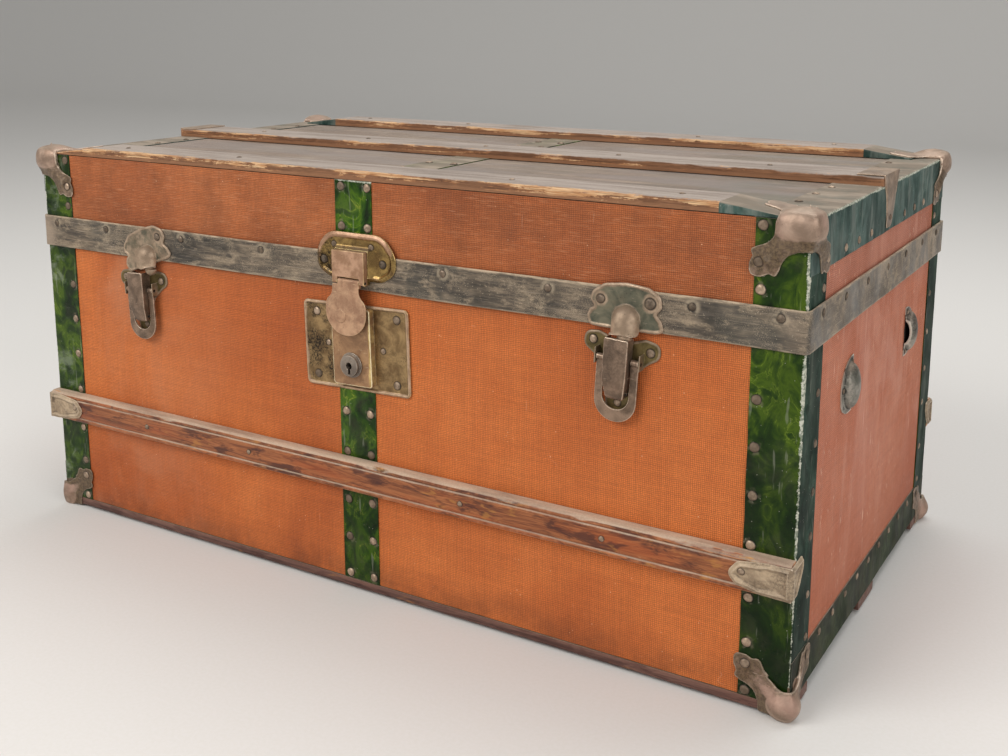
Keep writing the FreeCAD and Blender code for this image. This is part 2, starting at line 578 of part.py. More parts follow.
# flap: knuckle, neck and pear-shaped plate, with the staple riveted behind it
po = G["haspout"] + 0.7
flap_out = [(-14.6, 283.8, 1), (-15.6, 274, 10), (-22.6, 268, 14), (-23, 250, 22), (-10, 237.4, 22), (9, 237.4, 22),
            (21.6, 250, 22), (21.2, 268, 14), (13.8, 274, 10), (13.6, 283.8, 1)]
fp = prism("flap_plate", [rounded(flap_out)], "XZ", (0, -(D2 + po), 0), "d.plate+0.3")
kn = cyl("flap_knuckle", "d.haspkr", "23.4", (-9.0, -(D2 + G["haspout"]), hz), (1, 0, 0))
nk = box("flap_neck", ("-9.0", "14.4-0"), ("-(%s+%g)" % (hd, po + 1.5), "-(%s+%g)" % (hd, G["haspout"] - 1.6)),
         ("281.4", "d.haspz"))
bs = cyl("flap_boss", "5.8", "1.2", (-6.2, -(D2 + po + 1.4), 255.0), (0, -1, 0))
fh = cyl("flap_hole", "d.hasppr+0.05", "60", (-30, -(D2 + G["haspout"]), hz), (1, 0, 0))
fr_ = fuse("flap_joined", [fp, kn, nk, bs])
cut("flap_final", fr_, fh, "hasp_flap")
# staple: flat eye pointing back into the lock case
SXC = G["lockx"] + sx_ - 0.8
st = prism("staple_bar", [rounded([(-(D2 + po), 257.0), (-(D2 + po), 246.6), (-(D2 + 3.1), 246.6, 1.2), (-(D2 + 3.1), 257.0, 2)])],
           "YZ", (SXC - 1.5, 0, 0), "3")
eye = prism("staple_eye", [rect(-(D2 + 7.4), 247.8, -(D2 + 4.2), 253.6, 0)], "YZ", (SXC - 3, 0, 0), "6")
cut("staple_final", st, eye, "hasp_staple")
pin = cyl("hasp_pin_c", "d.hasppr", "35.0", (-14.8, -(D2 + G["haspout"]), hz), (1, 0, 0))
group("hasp_pin_set", [pin], "hasp_pin")

# ---------------------------------------------------------------- draw latches
EAR = [(-10.5, -48, 6), (10.5, -48, 6), (12.5, -14, 10), (24, -4, 12), (33.5, 2, 8), (32, 13.5, 7), (20, 15.5, 8),
       (8, 11.5, 4), (-8, 11.5, 4), (-20, 15.5, 8), (-32, 13.5, 7), (-33.5, 2, 8), (-24, -4, 12), (-12.5, -14, 10)]


def latch(side, x, z, tilt):
    """Local frame: X across, Z up, origin between the ears; 0 is 257 up the box."""
    b = body_new("lbase_" + side, place=1, label="latch_base_" + side)
    pad(b, "lbase_pad_" + side, [rounded(EAR)], "XZ_Plane", "0", "d.plate")
    for i, s in enumerate((-1, 1)):
        pad(b, "lbase_cheek%d_%s" % (i, side), [rect(s * 18.4, -9, s * 19.6, 4, 0) if s > 0 else rect(-19.6, -9, -18.4, 4, 0)],
            "XZ_Plane", "0", "9.2")
        pad(b, "lbase_foot%d_%s" % (i, side), [rect(s * 15.5 if s > 0 else -19.6, -9, 19.6 if s > 0 else -15.5, 4, 0)],
            "XZ_Plane", "0", "d.plate")
        pad(b, "lbase_lug%d_%s" % (i, side), [rounded([(0, -32.6), (-8.55, -32.6, 2.5), (-8.55, -27.4, 2.5), (0, -27.4)])],
            "YZ_Plane", "4.8" if s > 0 else "-6.0", "1.2")
    f = pad(b, "lbase_h1_" + side, [circle(6.3, -3.5, 1.4)], "YZ_Plane", "-30", "60", pocket=True)
    f.Reversed = True
    sk = f.Profile[0]
    sk.deleteAllGeometry()
    fill_sketch(sk, [circle(-6.3, -3.5, 1.4), circle(-6.0, -30, 1.4)])
    set_place(b, x, z, "0", tilt)
    # lever: a channel open at the top and the back, its foot bent in round the pivot
    def shell(tag, front, side_):
        fa = prism("lev_%s_a_%s" % (tag, side), [rounded(front)], "XZ", (0, 2, 0), "20")
        fb = prism("lev_%s_b_%s" % (tag, side), [rounded(side_)], "YZ", (-14, 0, 0), "28")
        return common("lev_%s_%s" % (tag, side), fa, fb)

    outer_ = shell("o", [(-10.3, 15, 2), (10.3, 15, 2), (10.3, -18, 12), (7.4, -36.6, 4.5), (-7.4, -36.6, 4.5), (-10.3, -18, 12)],
                   [(-2.0, 15), (-13.2, 15), (-13.2, -19, 9), (-8.6, -36.6, 1.5), (-5.5, -35.2, 1), (-3.2, -33.0, 2),
                    (-1.9, -29.5, 2), (-2.0, -25)])
    inner_ = shell("i", [(-9.1, 18, 0), (9.1, 18, 0), (9.1, -18, 11), (6.3, -35.4, 3.5), (-6.3, -35.4, 3.5), (-9.1, -18, 11)],
                   [(1.5, 18), (-12.0, 18), (-12.0, -18.8, 8), (-7.6, -35.0, 0.8), (1.5, -35.0)])
    lhole = cyl("lev_h_" + side, "1.45", "40", (-20, -6.0, -30), (1, 0, 0))
    b = cut("lev_cut_" + side, cut("lev_cut0_" + side, outer_, inner_), lhole)
    keep(b, "latch_lever_" + side)
    set_place(b, x, z, "0", tilt)
    # loop handle: flat ring, its legs end in knuckles between the cheeks
    b = body_new("loop_" + side, place=1, label="latch_loop_" + side)
    ring = [(-18, -3.5, 0), (-18, -54, 17.5), (18, -54, 17.5), (18, -3.5, 0), (11.4, -3.5, 0),
            (11.4, -43.8, 11.0), (-11.4, -43.8, 11.0), (-11.4, -3.5, 0)]
    pad(b, "loop_ring_" + side, [rounded(ring)], "XZ_Plane", "5.3", "2.0")
    pad(b, "loop_k1_" + side, [circle(-6.3, -3.5, 2.6)], "YZ_Plane", "11.4", "6.6")
    pad(b, "loop_k2_" + side, [circle(-6.3, -3.5, 2.6)], "YZ_Plane", "-18", "6.6")
    f = pad(b, "loop_hole_" + side, [circle(-6.3, -3.5, 1.45)], "YZ_Plane", "-30", "60", pocket=True)
    f.Reversed = True
    set_place(b, x, z, "0", tilt)
    # pins in the base: one through the lever, a stub in each cheek
    p = []
    for nm, x0, ln, yy, zz in (("a", -10.3, 20.6, -6.0, -30), ("b", -19.6, 6.6, -6.3, -3.5), ("c", 13.0, 6.6, -6.3, -3.5)):
        c = cyl("lpin_%s_%s" % (nm, side), "1.4", str(ln), (x0, yy, zz), (1, 0, 0))
        p.append(c)
    g = doc.addObject("Part::Compound", "lpins_" + side)
    g.Links = p
    set_place(g, x, z, "0", tilt)
    return g


pr = latch("right", "d.latchx", "257", "d.latchtilt")
pl = latch("left", "d.latchxl", "257-d.latchdrop", "d.latchtiltl")
lp = doc.addObject("Part::Compound", "latch_pins_set")
lp.Links = [pl, pr]
keep(lp, "latch_pins")


def catch(side):
    """Catch on the lid band: plate, domed hood and the stud that the lever holds.
    Local frame: origin at the dome centre, on the front face."""
    b = body_new("catch_" + side, place=1, label="catch_plate_" + side)
    out = [(-31.5, -8, 4), (-34, 0, 5), (-31, 5.5, 2.4), (-27.2, 7.6, 1.6), (-31.2, 12.5, 4), (-29.5, 19.5, 6), (-19, 26.8, 12),
           (0, 29, 30), (19, 27, 12), (28.8, 20.5, 7), (29.8, 12, 4), (25.2, 6.5, 1.8), (29.5, 1.2, 3.5), (32, -7, 4.5),
           (24, -8.8, 5), (10, -8.8, 4), (-10, -8.8, 4), (-22, -8.8, 5)]
    pad(b, "catch_pad_" + side, [rounded(out)], "XZ_Plane", "d.bandgap+d.bandt", "d.plate")
    d = doc.addObject("Part::Sphere", "dome_" + side)
    d.setExpression("Radius", EX("d.domer"))
    d.Placement.Base = V(0, -3.2, 0)
    db = doc.addObject("Part::Box", "domeback_" + side)
    db.Length, db.Width, db.Height = 60, 60, 60
    db.Placement.Base = V(-30, -3.05, -30)
    dome = cut("domecut_" + side, d, db)
    stud = cyl("stud_" + side, "3.6", "13", (0, -6.9, -13.5), (0, 0, 1))
    ball = doc.addObject("Part::Sphere", "studball_" + side)
    ball.Radius = 5.0
    ball.Placement.Base = V(0, -6.7, -13.8)
    FINAL.remove(b)
    b.Label = "catch_pad_body_" + side
    o = fuse("catch_fuse_" + side, [b, dome, stud, ball])
    return o


cr = catch("right")
keep(cr, "catch_plate_right")
set_place(cr, "d.latchx+5", "286", "0", "0")
cl = catch("left")
keep(cl, "catch_plate_left")
# untilted, the dome would sit 20 left of and 14.7 below the nail that still holds it
nx, nz = -240.3, 301.8
a = math.radians(G["catchturn"])
dx = nx - 20 * math.cos(a) + 14.7 * math.sin(a)
dz = nz - 20 * math.sin(a) - 14.7 * math.cos(a)
set_place(cl, "%g" % dx, "%g" % dz, "0", "-d.catchturn")
CLX, CLZ = dx, dz


# ---------------------------------------------------------------- handle caps
def handle_cap(name, sx, sy):
    """Pressed hood for the end of a carrying strap, mouth towards the middle."""
    o1 = doc.addObject("Part::Ellipsoid", name + "_o")
    o2 = doc.addObject("Part::Ellipsoid", name + "_i")
    for o, t in ((o1, "0"), (o2, "d.plate")):
        o.setExpression("Radius1", EX("d.capz-%s" % t))
        o.setExpression("Radius2", EX("d.capout-%s" % t))
        o.setExpression("Radius3", EX("d.capx-%s" % t))
        o.Angle1, o.Angle2, o.Angle3 = -90, 90, 360
        # local Z is the vertical half height, X the projection, Y the length
        o.Placement.Base = V(W2, -G["capy"], G["capmidz"])
    keep_o = box(name + "_k", (hw, "%s+40" % hw), ("-d.capy-40", "-d.capy"), ("150", "300"))
    keep_i = box(name + "_ki", (hw + "-5", "%s+40" % hw), ("-d.capy-40", "-d.capy+5"), ("150", "300"))
    yc, zc_ = G["capy"], G["capmidz"]
    flange = prism(name + "_f", [rounded([(-yc, zc_ - 23, 2), (-yc, zc_ + 24.5, 3), (-yc - 7, zc_ + 24, 6),
                                          (-yc - 22, zc_ + 18, 8), (-yc - 31.5, zc_ + 4, 10),
                                          (-yc - 30.5, zc_ - 13, 10), (-yc - 17, zc_ - 22, 6)])],
                   "YZ", (W2, 0, 0), "d.plate")
    solid = fuse(name + "_u", [common(name + "_h", o1, keep_o), flange])
    return cut(name + "_c", solid, common(name + "_hi", o2, keep_i))


cap = handle_cap("cap", 1, -1)
cap2 = mirror("cap_rear", cap, (0, 1, 0))
capl = mirror("cap_left", cap, (1, 0, 0))
capl2 = mirror("cap_left_rear", capl, (0, 1, 0))
group("caps_right", [cap, cap2], "handle_caps_right")
group("caps_left", [capl, capl2], "handle_caps_left")

# ---------------------------------------------------------------- lid hinges
hy, kz = D2 + G["hingeout"], G["hingez"]


def hinge(tag, xc):
    w = G["hingew"] / 2
    pieces_b = [prism(tag + "_bl", [rect(xc - w, 246, xc + w, 285.6, 3)], "XZ", (0, D2 + 1.6, 0), "1.6")]
    pieces_l = [prism(tag + "_ll", [rect(xc - w, 294.2, xc + w, 334, 3)], "XZ", (0, D2 + 4.2, 0), "1.6")]
    for i, (x0, x1) in enumerate(((-w, -10), (10, w))):
        pieces_b.append(cyl("%s_bk%d" % (tag, i), "d.knuckler", str(x1 - x0), (xc + x0, hy, kz), (1, 0, 0)))
        pieces_b.append(prism("%s_bw%d" % (tag, i), [rounded([(D2, 283.5), (D2 + 1.6, 283.5), (hy + 0.6, 287.6), (hy, 288.4), (D2 + 1.9, 288.4), (D2, 285.6)])],
                              "YZ", (xc + x0, 0, 0), str(x1 - x0)))
    pieces_l.append(cyl(tag + "_lk", "d.knuckler", "19.4", (xc - 9.7, hy, kz), (1, 0, 0)))
    pieces_l.append(prism(tag + "_lw", [rounded([(D2 + 2.6, 292), (hy - 0.1, 292), (hy - 0.1, 293.6), (D2 + 4.2, 295.0), (D2 + 2.6, 295.0)])],
                          "YZ", (xc - 9.7, 0, 0), "19.4"))
    hole = cyl(tag + "_hole", "d.pinr+0.05", "80", (xc - 40, hy, kz), (1, 0, 0))
    bl = cut(tag + "_b", fuse(tag + "_bf", pieces_b), hole)
    ll = cut(tag + "_l", fuse(tag + "_lf", pieces_l), hole)
    pin = cyl(tag + "_pin", "d.pinr", "d.hingew+2", (xc - w - 1, hy, kz), (1, 0, 0))
    return bl, ll, pin


h1, h2_ = hinge("hgl", -G["hingex"]), hinge("hgr", G["hingex"])
group("hbl", [h1[0], h2_[0]], "hinge_body_leaves")
group("hll", [h1[1], h2_[1]], "hinge_lid_leaves")
group("hpn", [h1[2], h2_[2]], "hinge_pins")


# ---------------------------------------------------------------- nails
def nail_shape(scale=1.0, shank=None):
    r, h_ = G["nailr"] * scale, G["nailh"] * scale
    s, l = G["shankr"], shank if shank is not None else G["shankl"]
    rim = 0.35
    pts = [V(0, 0, -l), V(0, 0, h_)]
    arc = Part.Arc(V(0, 0, h_), V(r * 0.66, 0, rim + (h_ - rim) * 0.62), V(r, 0, rim)).toShape()
    e = [arc, Part.makeLine(V(r, 0, rim), V(r, 0, 0)), Part.makeLine(V(r, 0, 0), V(s, 0, 0)),
         Part.makeLine(V(s, 0, 0), V(s, 0, -l + 1.5)), Part.makeLine(V(s, 0, -l + 1.5), V(0, 0, -l)),
         Part.makeLine(V(0, 0, -l), V(0, 0, h_))]
    w = Part.Wire(Part.__sortEdges__(e))
    return Part.Face(w).revolve(V(0, 0, 0), V(0, 0, 1), 360)


NAIL = nail_shape()


def nails(name, label, spots):
    """spots: (x, y, z, direction, scale); the head sits on the surface at that point."""
    shapes = []
    for sp in spots:
        x, y, z, dr = sp[:4]
        sc = sp[4] if len(sp) > 4 else 1.0
        shp = NAIL.copy() if sc == 1.0 and len(sp) < 6 else nail_shape(sc, sp[5] if len(sp) > 5 else None)
        shp.Placement = FreeCAD.Placement(V(x, y, z), FreeCAD.Rotation(V(0, 0, 1), V(*dr)))
        shapes.append(shp)
    o = doc.addObject("Part::Feature", name)
    o.Shape = Part.makeCompound(shapes)
    shift(o)
    return keep(o, label)


F_, R_, B_, L_, U_ = (0, -1, 0), (1, 0, 0), (0, 1, 0), (-1, 0, 0), (0, 0, 1)
xb, yb = W2 + tin, D2 + tin
sp = []
for s in (-1, 1):
    for z in (4.5, 44.5, 81.5, 124, 163.5, 201.5, 238.5):
        sp.append((s * (W2 - 34.5), -yb, z, F_, 1))
        sp.append((s * (W2 - 34.5), yb, z, B_, 1))
    for z in (43.5, 79, 126.5, 162.5, 201, 240.5):
        for sy in (-1, 1):
            sp.append((s * xb, sy * (D2 - 32), z, R_ if s > 0 else L_, 0.85))
    for i in range(-4, 5):
        sp.append((s * xb, i * 37.4 - 18.5 + 18.5, 30.0, R_ if s > 0 else L_, 0.85))
for z in (5.5, 41.5, 78, 124.5, 163):
    for x in (-12, 15):
        sp.append((x, -yb, z + (0 if x < 0 else 0.8), F_, 1))
        sp.append((x, yb, z, B_, 1))
for x in (-12, 15):
    sp.append((x, yb, 205, B_, 1))
    sp.append((x, yb, 246, B_, 1))
# the two nails hidden by the rubbing slats are left out
sp = [q_ for q_ in sp if not (abs(q_[1]) > D2 and abs(q_[2] - G["rubz"]) < 17)]
nails("body_nails_f", "body_binding_nails", sp)

sp = []
for s in (-1, 1):
    for z in (321.5, 345.5, 368.8):
        if z != 345.5:
            sp.append((s * (W2 - 34.8), -yb, z, F_, 1))
            sp.append((s * (W2 - 34.8), yb, z, B_, 1))
    for sy in (-1, 1):
        sp.append((s * xb, sy * (D2 - 34), 320, R_ if s > 0 else L_, 0.85))
    for y in (-132, -95, -57, 57, 95, 132):
        sp.append((s * xb, y, 341.0, R_ if s > 0 else L_, 0.85))
    for y in (-140, -95, -52, 52, 95, 140):
        sp.append((s * (W2 - 35), y, G["boxh"] + tin, U_, 0.85))
for x in (-12, 16.5):
    sp += [(x, -yb, 368.8, F_, 1), (x, -yb, 333.4, F_, 1), (x, yb, 368.8, B_, 1), (x, yb, 335, B_, 1)]
    for y in (-130, -85, 85, 130):
        sp.append((x, y, G["boxh"] + tin, U_, 1))
bandy, bandx = D2 + G["bandgap"] + G["bandt"], W2 + G["bandgap"] + G["bandt"]
for x in (-388, -314, -209, -106, 96, 197, 320, 388):
    sp.append((x, -bandy, 302.5, F_, 0.85))
for s in (-1, 1):
    for y in (-190, -130, -65, 0, 65, 130, 190):
        sp.append((s * bandx, y, 302.5, R_ if s > 0 else L_, 0.85))
for x in (-380, -200, -100, 0, 100, 200, 380):
    sp.append((x, D2 + G["bandgap"] + G["reart"], 302.5, B_, 0.85))
nails("lid_nails_f", "lid_binding_nails", sp)

# fittings on the body: lock plate, latches, caps, bumpers, slats, hinges
sp = []
t = math.radians(G["locktilt"])
for u, v in ((-43.3, 29.5), (-45.0, -29.2), (45.6, 29.6), (43.4, -29.6)):
    sp.append((G["lockx"] + u * math.cos(t) - v * math.sin(t), -(D2 + tin + 0.6), G["lockz"] + v * math.cos(t) + u * math.sin(t), F_, 0.95))
for u, v in ((-31.5, 0.6), (29.6, 0.8)):
    sp.append((G["lockx"] + u, -(D2 + tin + 0.6), G["lockz"] + v, F_, 0.7))
for lx, lz_, tl in ((G["latchx"], 257.0, G["latchtilt"]), (G["latchxl"], 257 - G["latchdrop"], G["latchtiltl"])):
    t = math.radians(-tl)
    for u, v, sc in ((-24.6, 7.5, 0.9), (24.6, 5.5, 0.9), (0.0, -40.0, 0.75)):
        sp.append((lx + u * math.cos(t) - v * math.sin(t), -(D2 + 1.2), lz_ + v * math.cos(t) + u * math.sin(t), F_, sc))
for s in (-1, 1):
    for sy in (-1, 1):
        for dy_, dz_ in ((4.5, 19.2), (4.5, -18.8), (27.2, 0)):
            sp.append((s * (W2 + 1.2), sy * (G["capy"] + dy_), G["capmidz"] + dz_, R_ if s > 0 else L_, 0.62))
        zc = low - 1.2 + 37.5
        sp.append((s * (xb - 35.5), sy * (yb + 1.2), zc, F_ if sy < 0 else B_, 0.95))
        sp.append((s * (xb + 1.2), sy * (yb - 35.5), zc, R_ if s > 0 else L_, 0.95))
        # screw in each slat clamp
        sp.append((s * 369, sy * (D2 + tin + rt + 1.2), rz + 2, F_ if sy < 0 else B_, 0.7, 8))
for x in (-124, 117, 252, -262):
    sp.append((x, -(D2 + tin + rt), rz, F_, 0.62, 12))
    sp.append((x, D2 + tin + rt, rz, B_, 0.62, 12))
for s in (-1, 1):
    for dx_ in (-20, 20):
        for z in (254, 274):
            sp.append((s * G["hingex"] + dx_, D2 + 1.6, z, B_, 0.8))
nails("body_hw_nails", "body_fitting_nails", sp)

# fittings on the lid
sp = []
for u, v, sc in ((-35.2, -5.6, 0.95), (29.2, -4.4, 0.95), (-23.8, 9.4, 0.7), (17.0, 9.6, 0.7)):
    sp.append((HX + u, -(D2 + G["bandgap"] + G["bandt"] + G["plate"]), HZ + v, F_, sc))
fy = -(D2 + G["bandgap"] + G["bandt"] + G["plate"])
sp.append((G["latchx"] + 5 - 22, fy, 300, F_, 0.9))
sp.append((G["latchx"] + 5 + 20, fy, 300.7, F_, 1.15))
sp.append((nx, fy, nz, F_, 0.9))
for s in (-1, 1):
    for sy in (-1, 1):
        zc = 376.0 - 35.5
        sp.append((s * (xb - 37.5), sy * (yb + 1.2), zc + 1.5, F_ if sy < 0 else B_, 0.95))
        sp.append((s * (xb + 1.2), sy * (yb - 37.5), zc + 1.5, R_ if s > 0 else L_, 0.95))
    sp.append((s * (xb + 1.2), 0, 345.5, R_ if s > 0 else L_, 0.7))
for x in (-300, -150, 0, 150, 300):
    for y in (-(D2 - 20), 0, D2 - 20):
        if x != 0 or y == 0:
            sp.append((x, y, sl1, U_, 0.62, 14))
for s in (-1, 1):
    for dx_ in (-20, 20):
        sp.append((s * G["hingex"] + dx_, D2 + 4.2, 326, B_, 0.8, 9))
nails("lid_hw_nails", "lid_fitting_nails", sp)

# ---------------------------------------------------------------- check and write
doc.recompute()
bad = []
for o in doc.Objects:
    if any(s in ("Invalid", "Error") for s in o.State):
        bad.append("%s (%s): %s" % (o.Name, o.Label, o.State))
labels = set()
total = 0
for o in FINAL:
    s = o.Shape
    if s.isNull() or not s.isValid() or not s.Solids:
        bad.append("%s: null, invalid or no solid" % o.Label)
    if o.Label in labels:
        bad.append("label used twice: " + o.Label)
    labels.add(o.Label)
if bad:
    raise RuntimeError("; ".join(bad))
bb = FreeCAD.BoundBox()
for o in FINAL:
    bb.add(o.Shape.BoundBox)
    o.Shape.exportStep("parts/%s.step" % o.Label)
print("nodes", len(FINAL))
for o in FINAL:
    x = o.Shape.BoundBox
    print("%-26s solids %3d vol %10.1f  X %.1f..%.1f Y %.1f..%.1f Z %.1f..%.1f" % (
        o.Label, len(o.Shape.Solids), o.Shape.Volume, x.XMin, x.XMax, x.YMin, x.YMax, x.ZMin, x.ZMax))
print("box X %.3f..%.3f Y %.3f..%.3f Z %.3f..%.3f" % (bb.XMin, bb.XMax, bb.YMin, bb.YMax, bb.ZMin, bb.ZMax))
print("left catch dome at", round(CLX, 2), round(CLZ, 2))
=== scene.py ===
"""Looks of the flat-topped steamer trunk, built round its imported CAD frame.
Everything is in metres in the row frame; mm() turns box millimetres into it."""
import json
import math
import bpy
import bmesh
import numpy as np
from mathutils import Vector, Matrix, kdtree


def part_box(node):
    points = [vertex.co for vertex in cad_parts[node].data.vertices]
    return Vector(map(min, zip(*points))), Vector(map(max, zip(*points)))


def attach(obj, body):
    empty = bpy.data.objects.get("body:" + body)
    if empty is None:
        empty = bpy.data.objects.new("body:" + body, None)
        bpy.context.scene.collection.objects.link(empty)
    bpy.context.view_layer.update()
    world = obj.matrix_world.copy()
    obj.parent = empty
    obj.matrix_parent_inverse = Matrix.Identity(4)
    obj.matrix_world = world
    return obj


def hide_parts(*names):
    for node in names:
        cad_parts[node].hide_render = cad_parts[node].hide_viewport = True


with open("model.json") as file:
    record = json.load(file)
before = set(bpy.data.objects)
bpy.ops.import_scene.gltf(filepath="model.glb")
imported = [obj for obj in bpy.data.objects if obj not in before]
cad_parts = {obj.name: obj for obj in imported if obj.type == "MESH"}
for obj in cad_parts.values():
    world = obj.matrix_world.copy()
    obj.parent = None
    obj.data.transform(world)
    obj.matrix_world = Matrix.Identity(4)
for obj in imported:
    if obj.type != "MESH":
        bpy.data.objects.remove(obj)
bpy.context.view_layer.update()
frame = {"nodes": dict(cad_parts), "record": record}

nodes = frame["nodes"]
owner = {n: b for b, ns in frame["record"]["behaviour"]["bodies"].items() for n in ns}
slot_of = {s["node"]: s["material_slot"] for s in frame["record"]["subparts"]}
YS, ZS = 0.434, 11.5
W2, D2, H, SPLIT, TIN = 406.0, 220.0, 374.0, 290.0, 0.8
XO, YO = W2 + TIN, D2 + TIN


def mm(x, y, z):
    return (x / 1000, (y + YS) / 1000, (z + ZS) / 1000)


def to_row(a):
    """Array of box millimetres to row metres."""
    a = np.asarray(a, float).reshape(-1, 3).copy()
    a[:, 1] += YS
    a[:, 2] += ZS
    return a / 1000


# ------------------------------------------------------------------ numpy noise
def _hash(ix, iy, iz, seed):
    h = (ix * 374761393 + iy * 668265263 + iz * 2147483647 + seed * 974634777) & 0xFFFFFFFF
    h = ((h ^ (h >> 13)) * 1274126177) & 0xFFFFFFFF
    h = h ^ (h >> 16)
    return (h & 0xFFFFFF) / float(0xFFFFFF)


def vnoise(p, scale, seed=0):
    """Smooth value noise in 0..1 at points p (n,3); scale is cells per unit."""
    q = np.asarray(p, float) * scale + 1000.0
    i = np.floor(q).astype(np.int64)
    f = q - i
    f = f * f * (3 - 2 * f)
    out = 0
    for dx in (0, 1):
        wx = f[:, 0] if dx else 1 - f[:, 0]
        for dy in (0, 1):
            wy = f[:, 1] if dy else 1 - f[:, 1]
            for dz in (0, 1):
                wz = f[:, 2] if dz else 1 - f[:, 2]
                out = out + wx * wy * wz * _hash(i[:, 0] + dx, i[:, 1] + dy, i[:, 2] + dz, seed)
    return out


def fbm(p, scale, octaves=3, seed=0):
    s, a, t = 0, 1.0, 0
    for k in range(octaves):
        s = s + a * vnoise(p, scale * 2 ** k, seed + 31 * k)
        t += a
        a *= 0.5
    return s / t


# ------------------------------------------------------------------ mesh helpers
def new_object(name, mesh, body, material, slot, *replaced):
    o = bpy.data.objects.new(name, mesh)
    bpy.context.scene.collection.objects.link(o)
    mesh.materials.clear()
    for m in (material if isinstance(material, (list, tuple)) else [material]):
        mesh.materials.append(m)
    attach(o, body)
    if replaced:
        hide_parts(*replaced)
    return o


def make_mesh(name, verts, faces, smooth=True):
    me = bpy.data.meshes.new(name)
    me.from_pydata([tuple(v) for v in verts], [], [tuple(f) for f in faces])
    me.validate()
    me.update()
    if smooth:
        me.polygons.foreach_set("use_smooth", [True] * len(me.polygons))
    return me


def fix_normals(me):
    bm = bmesh.new()
    bm.from_mesh(me)
    bmesh.ops.recalc_face_normals(bm, faces=bm.faces)
    bm.to_mesh(me)
    bm.free()
    me.update()


def set_attr(me, name, values):
    a = me.attributes.get(name) or me.attributes.new(name, "FLOAT", "POINT")
    a.data.foreach_set("value", np.asarray(values, np.float32))


def coords(me):
    co = np.zeros(len(me.vertices) * 3)
    me.vertices.foreach_get("co", co)
    return co.reshape(-1, 3)


def normals(me):
    no = np.zeros(len(me.vertices) * 3, np.float32)
    me.vertex_normals.foreach_get("vector", no)
    return no.reshape(-1, 3).astype(float)


def put(me, co):
    me.vertices.foreach_set("co", np.asarray(co, np.float32).ravel())
    me.update()


def curvature(me, smooth=3):
    """Signed convexity of each vertex, about -1..1."""
    co, no = coords(me), normals(me)
    ed = np.zeros(len(me.edges) * 2, np.int64)
    me.edges.foreach_get("vertices", ed)
    ed = ed.reshape(-1, 2)
    n = len(co)
    cnt = np.bincount(ed.ravel(), minlength=n).astype(float)
    cnt[cnt == 0] = 1

    def avg(v):
        out = np.zeros_like(v)
        for c in range(v.shape[1]):
            out[:, c] = np.bincount(ed[:, 0], v[ed[:, 1], c], n) + np.bincount(ed[:, 1], v[ed[:, 0], c], n)
        return out / cnt[:, None]

    ln = np.linalg.norm(co[ed[:, 0]] - co[ed[:, 1]], axis=1)
    mean = (np.bincount(ed[:, 0], ln, n) + np.bincount(ed[:, 1], ln, n)) / cnt
    c = ((co - avg(co)) * no).sum(1) / np.maximum(mean, 1e-9)
    c = c[:, None]
    for _ in range(smooth):
        c = 0.5 * c + 0.5 * avg(c)
    return c[:, 0]


def remeshed(node, voxel, smooth=4, factor=0.5, adapt=0.0):
    """Welded, voxel-remeshed and relaxed copy of a CAD node's mesh, as a new mesh."""
    me = nodes[node].data.copy()
    o = bpy.data.objects.new("tmp_" + node, me)
    bpy.context.scene.collection.objects.link(o)
    w = o.modifiers.new("w", "WELD")
    w.merge_threshold = 1e-6
    r = o.modifiers.new("r", "REMESH")
    r.mode = "VOXEL"
    r.voxel_size = voxel
    r.adaptivity = adapt
    r.use_smooth_shade = True
    if smooth:
        s = o.modifiers.new("s", "SMOOTH")
        s.factor, s.iterations = factor, smooth
    bpy.context.view_layer.update()
    dg = bpy.context.evaluated_depsgraph_get()
    out = bpy.data.meshes.new_from_object(o.evaluated_get(dg))
    bpy.data.objects.remove(o)
    bpy.data.meshes.remove(me)
    out.polygons.foreach_set("use_smooth", [True] * len(out.polygons))
    return out


def dent(me, amount, scale, seed=0, sharp=None):
    """Small irregularities along the normals, in metres."""
    co, no = coords(me), normals(me)
    n = fbm(co, scale, 2, seed) - 0.5
    put(me, co + no * (n * 2 * amount)[:, None])


# ------------------------------------------------------------------ nails of the frame
def nail_table(node):
    """[(centre on the surface, outward direction, head radius)] of a nail node, in metres."""
    bm = bmesh.new()
    bm.from_mesh(nodes[node].data)
    bmesh.ops.remove_doubles(bm, verts=bm.verts, dist=2e-6)
    seen, out = set(), []
    bm.verts.ensure_lookup_table()
    for v in bm.verts:
        if v.index in seen:
            continue
        stack, part = [v], []
        seen.add(v.index)
        while stack:
            a = stack.pop()
            part.append(a.co.copy())
            for e in a.link_edges:
                b = e.other_vert(a)
                if b.index not in seen:
                    seen.add(b.index)
                    stack.append(b)
        p = np.array(part)
        lo, hi = p.min(0), p.max(0)
        mid, size = (lo + hi) / 2, hi - lo
        best = None
        for ax in range(3):
            r = np.linalg.norm(np.delete(p - mid, ax, 1), axis=1)
            others = np.delete(size, ax)
            if abs(others[0] - others[1]) > 0.25 * others.max():
                continue
            if best is None or size[ax] > best[1]:
                best = (ax, size[ax], r)
        if best is None:
            continue
        ax, _, r = best
        base = p[r > r.max() * 0.97][:, ax].min(), p[r > r.max() * 0.97][:, ax].max()
        sign = 1 if (hi[ax] - base[1]) < (base[0] - lo[ax]) else -1
        c = mid.copy()
        c[ax] = base[0] if sign > 0 else base[1]
        d = np.zeros(3)
        d[ax] = sign
        out.append((c, d, r.max()))
    bm.free()
    return out


NAILS = {n: nail_table(n) for n in ("body_binding_nails", "lid_binding_nails", "body_fitting_nails", "lid_fitting_nails")}
ALL_NAILS = [x for v in NAILS.values() for x in v]
tree = kdtree.KDTree(len(ALL_NAILS))
for i, (c, d, r) in enumerate(ALL_NAILS):
    tree.insert(Vector(c), i)
tree.balance()


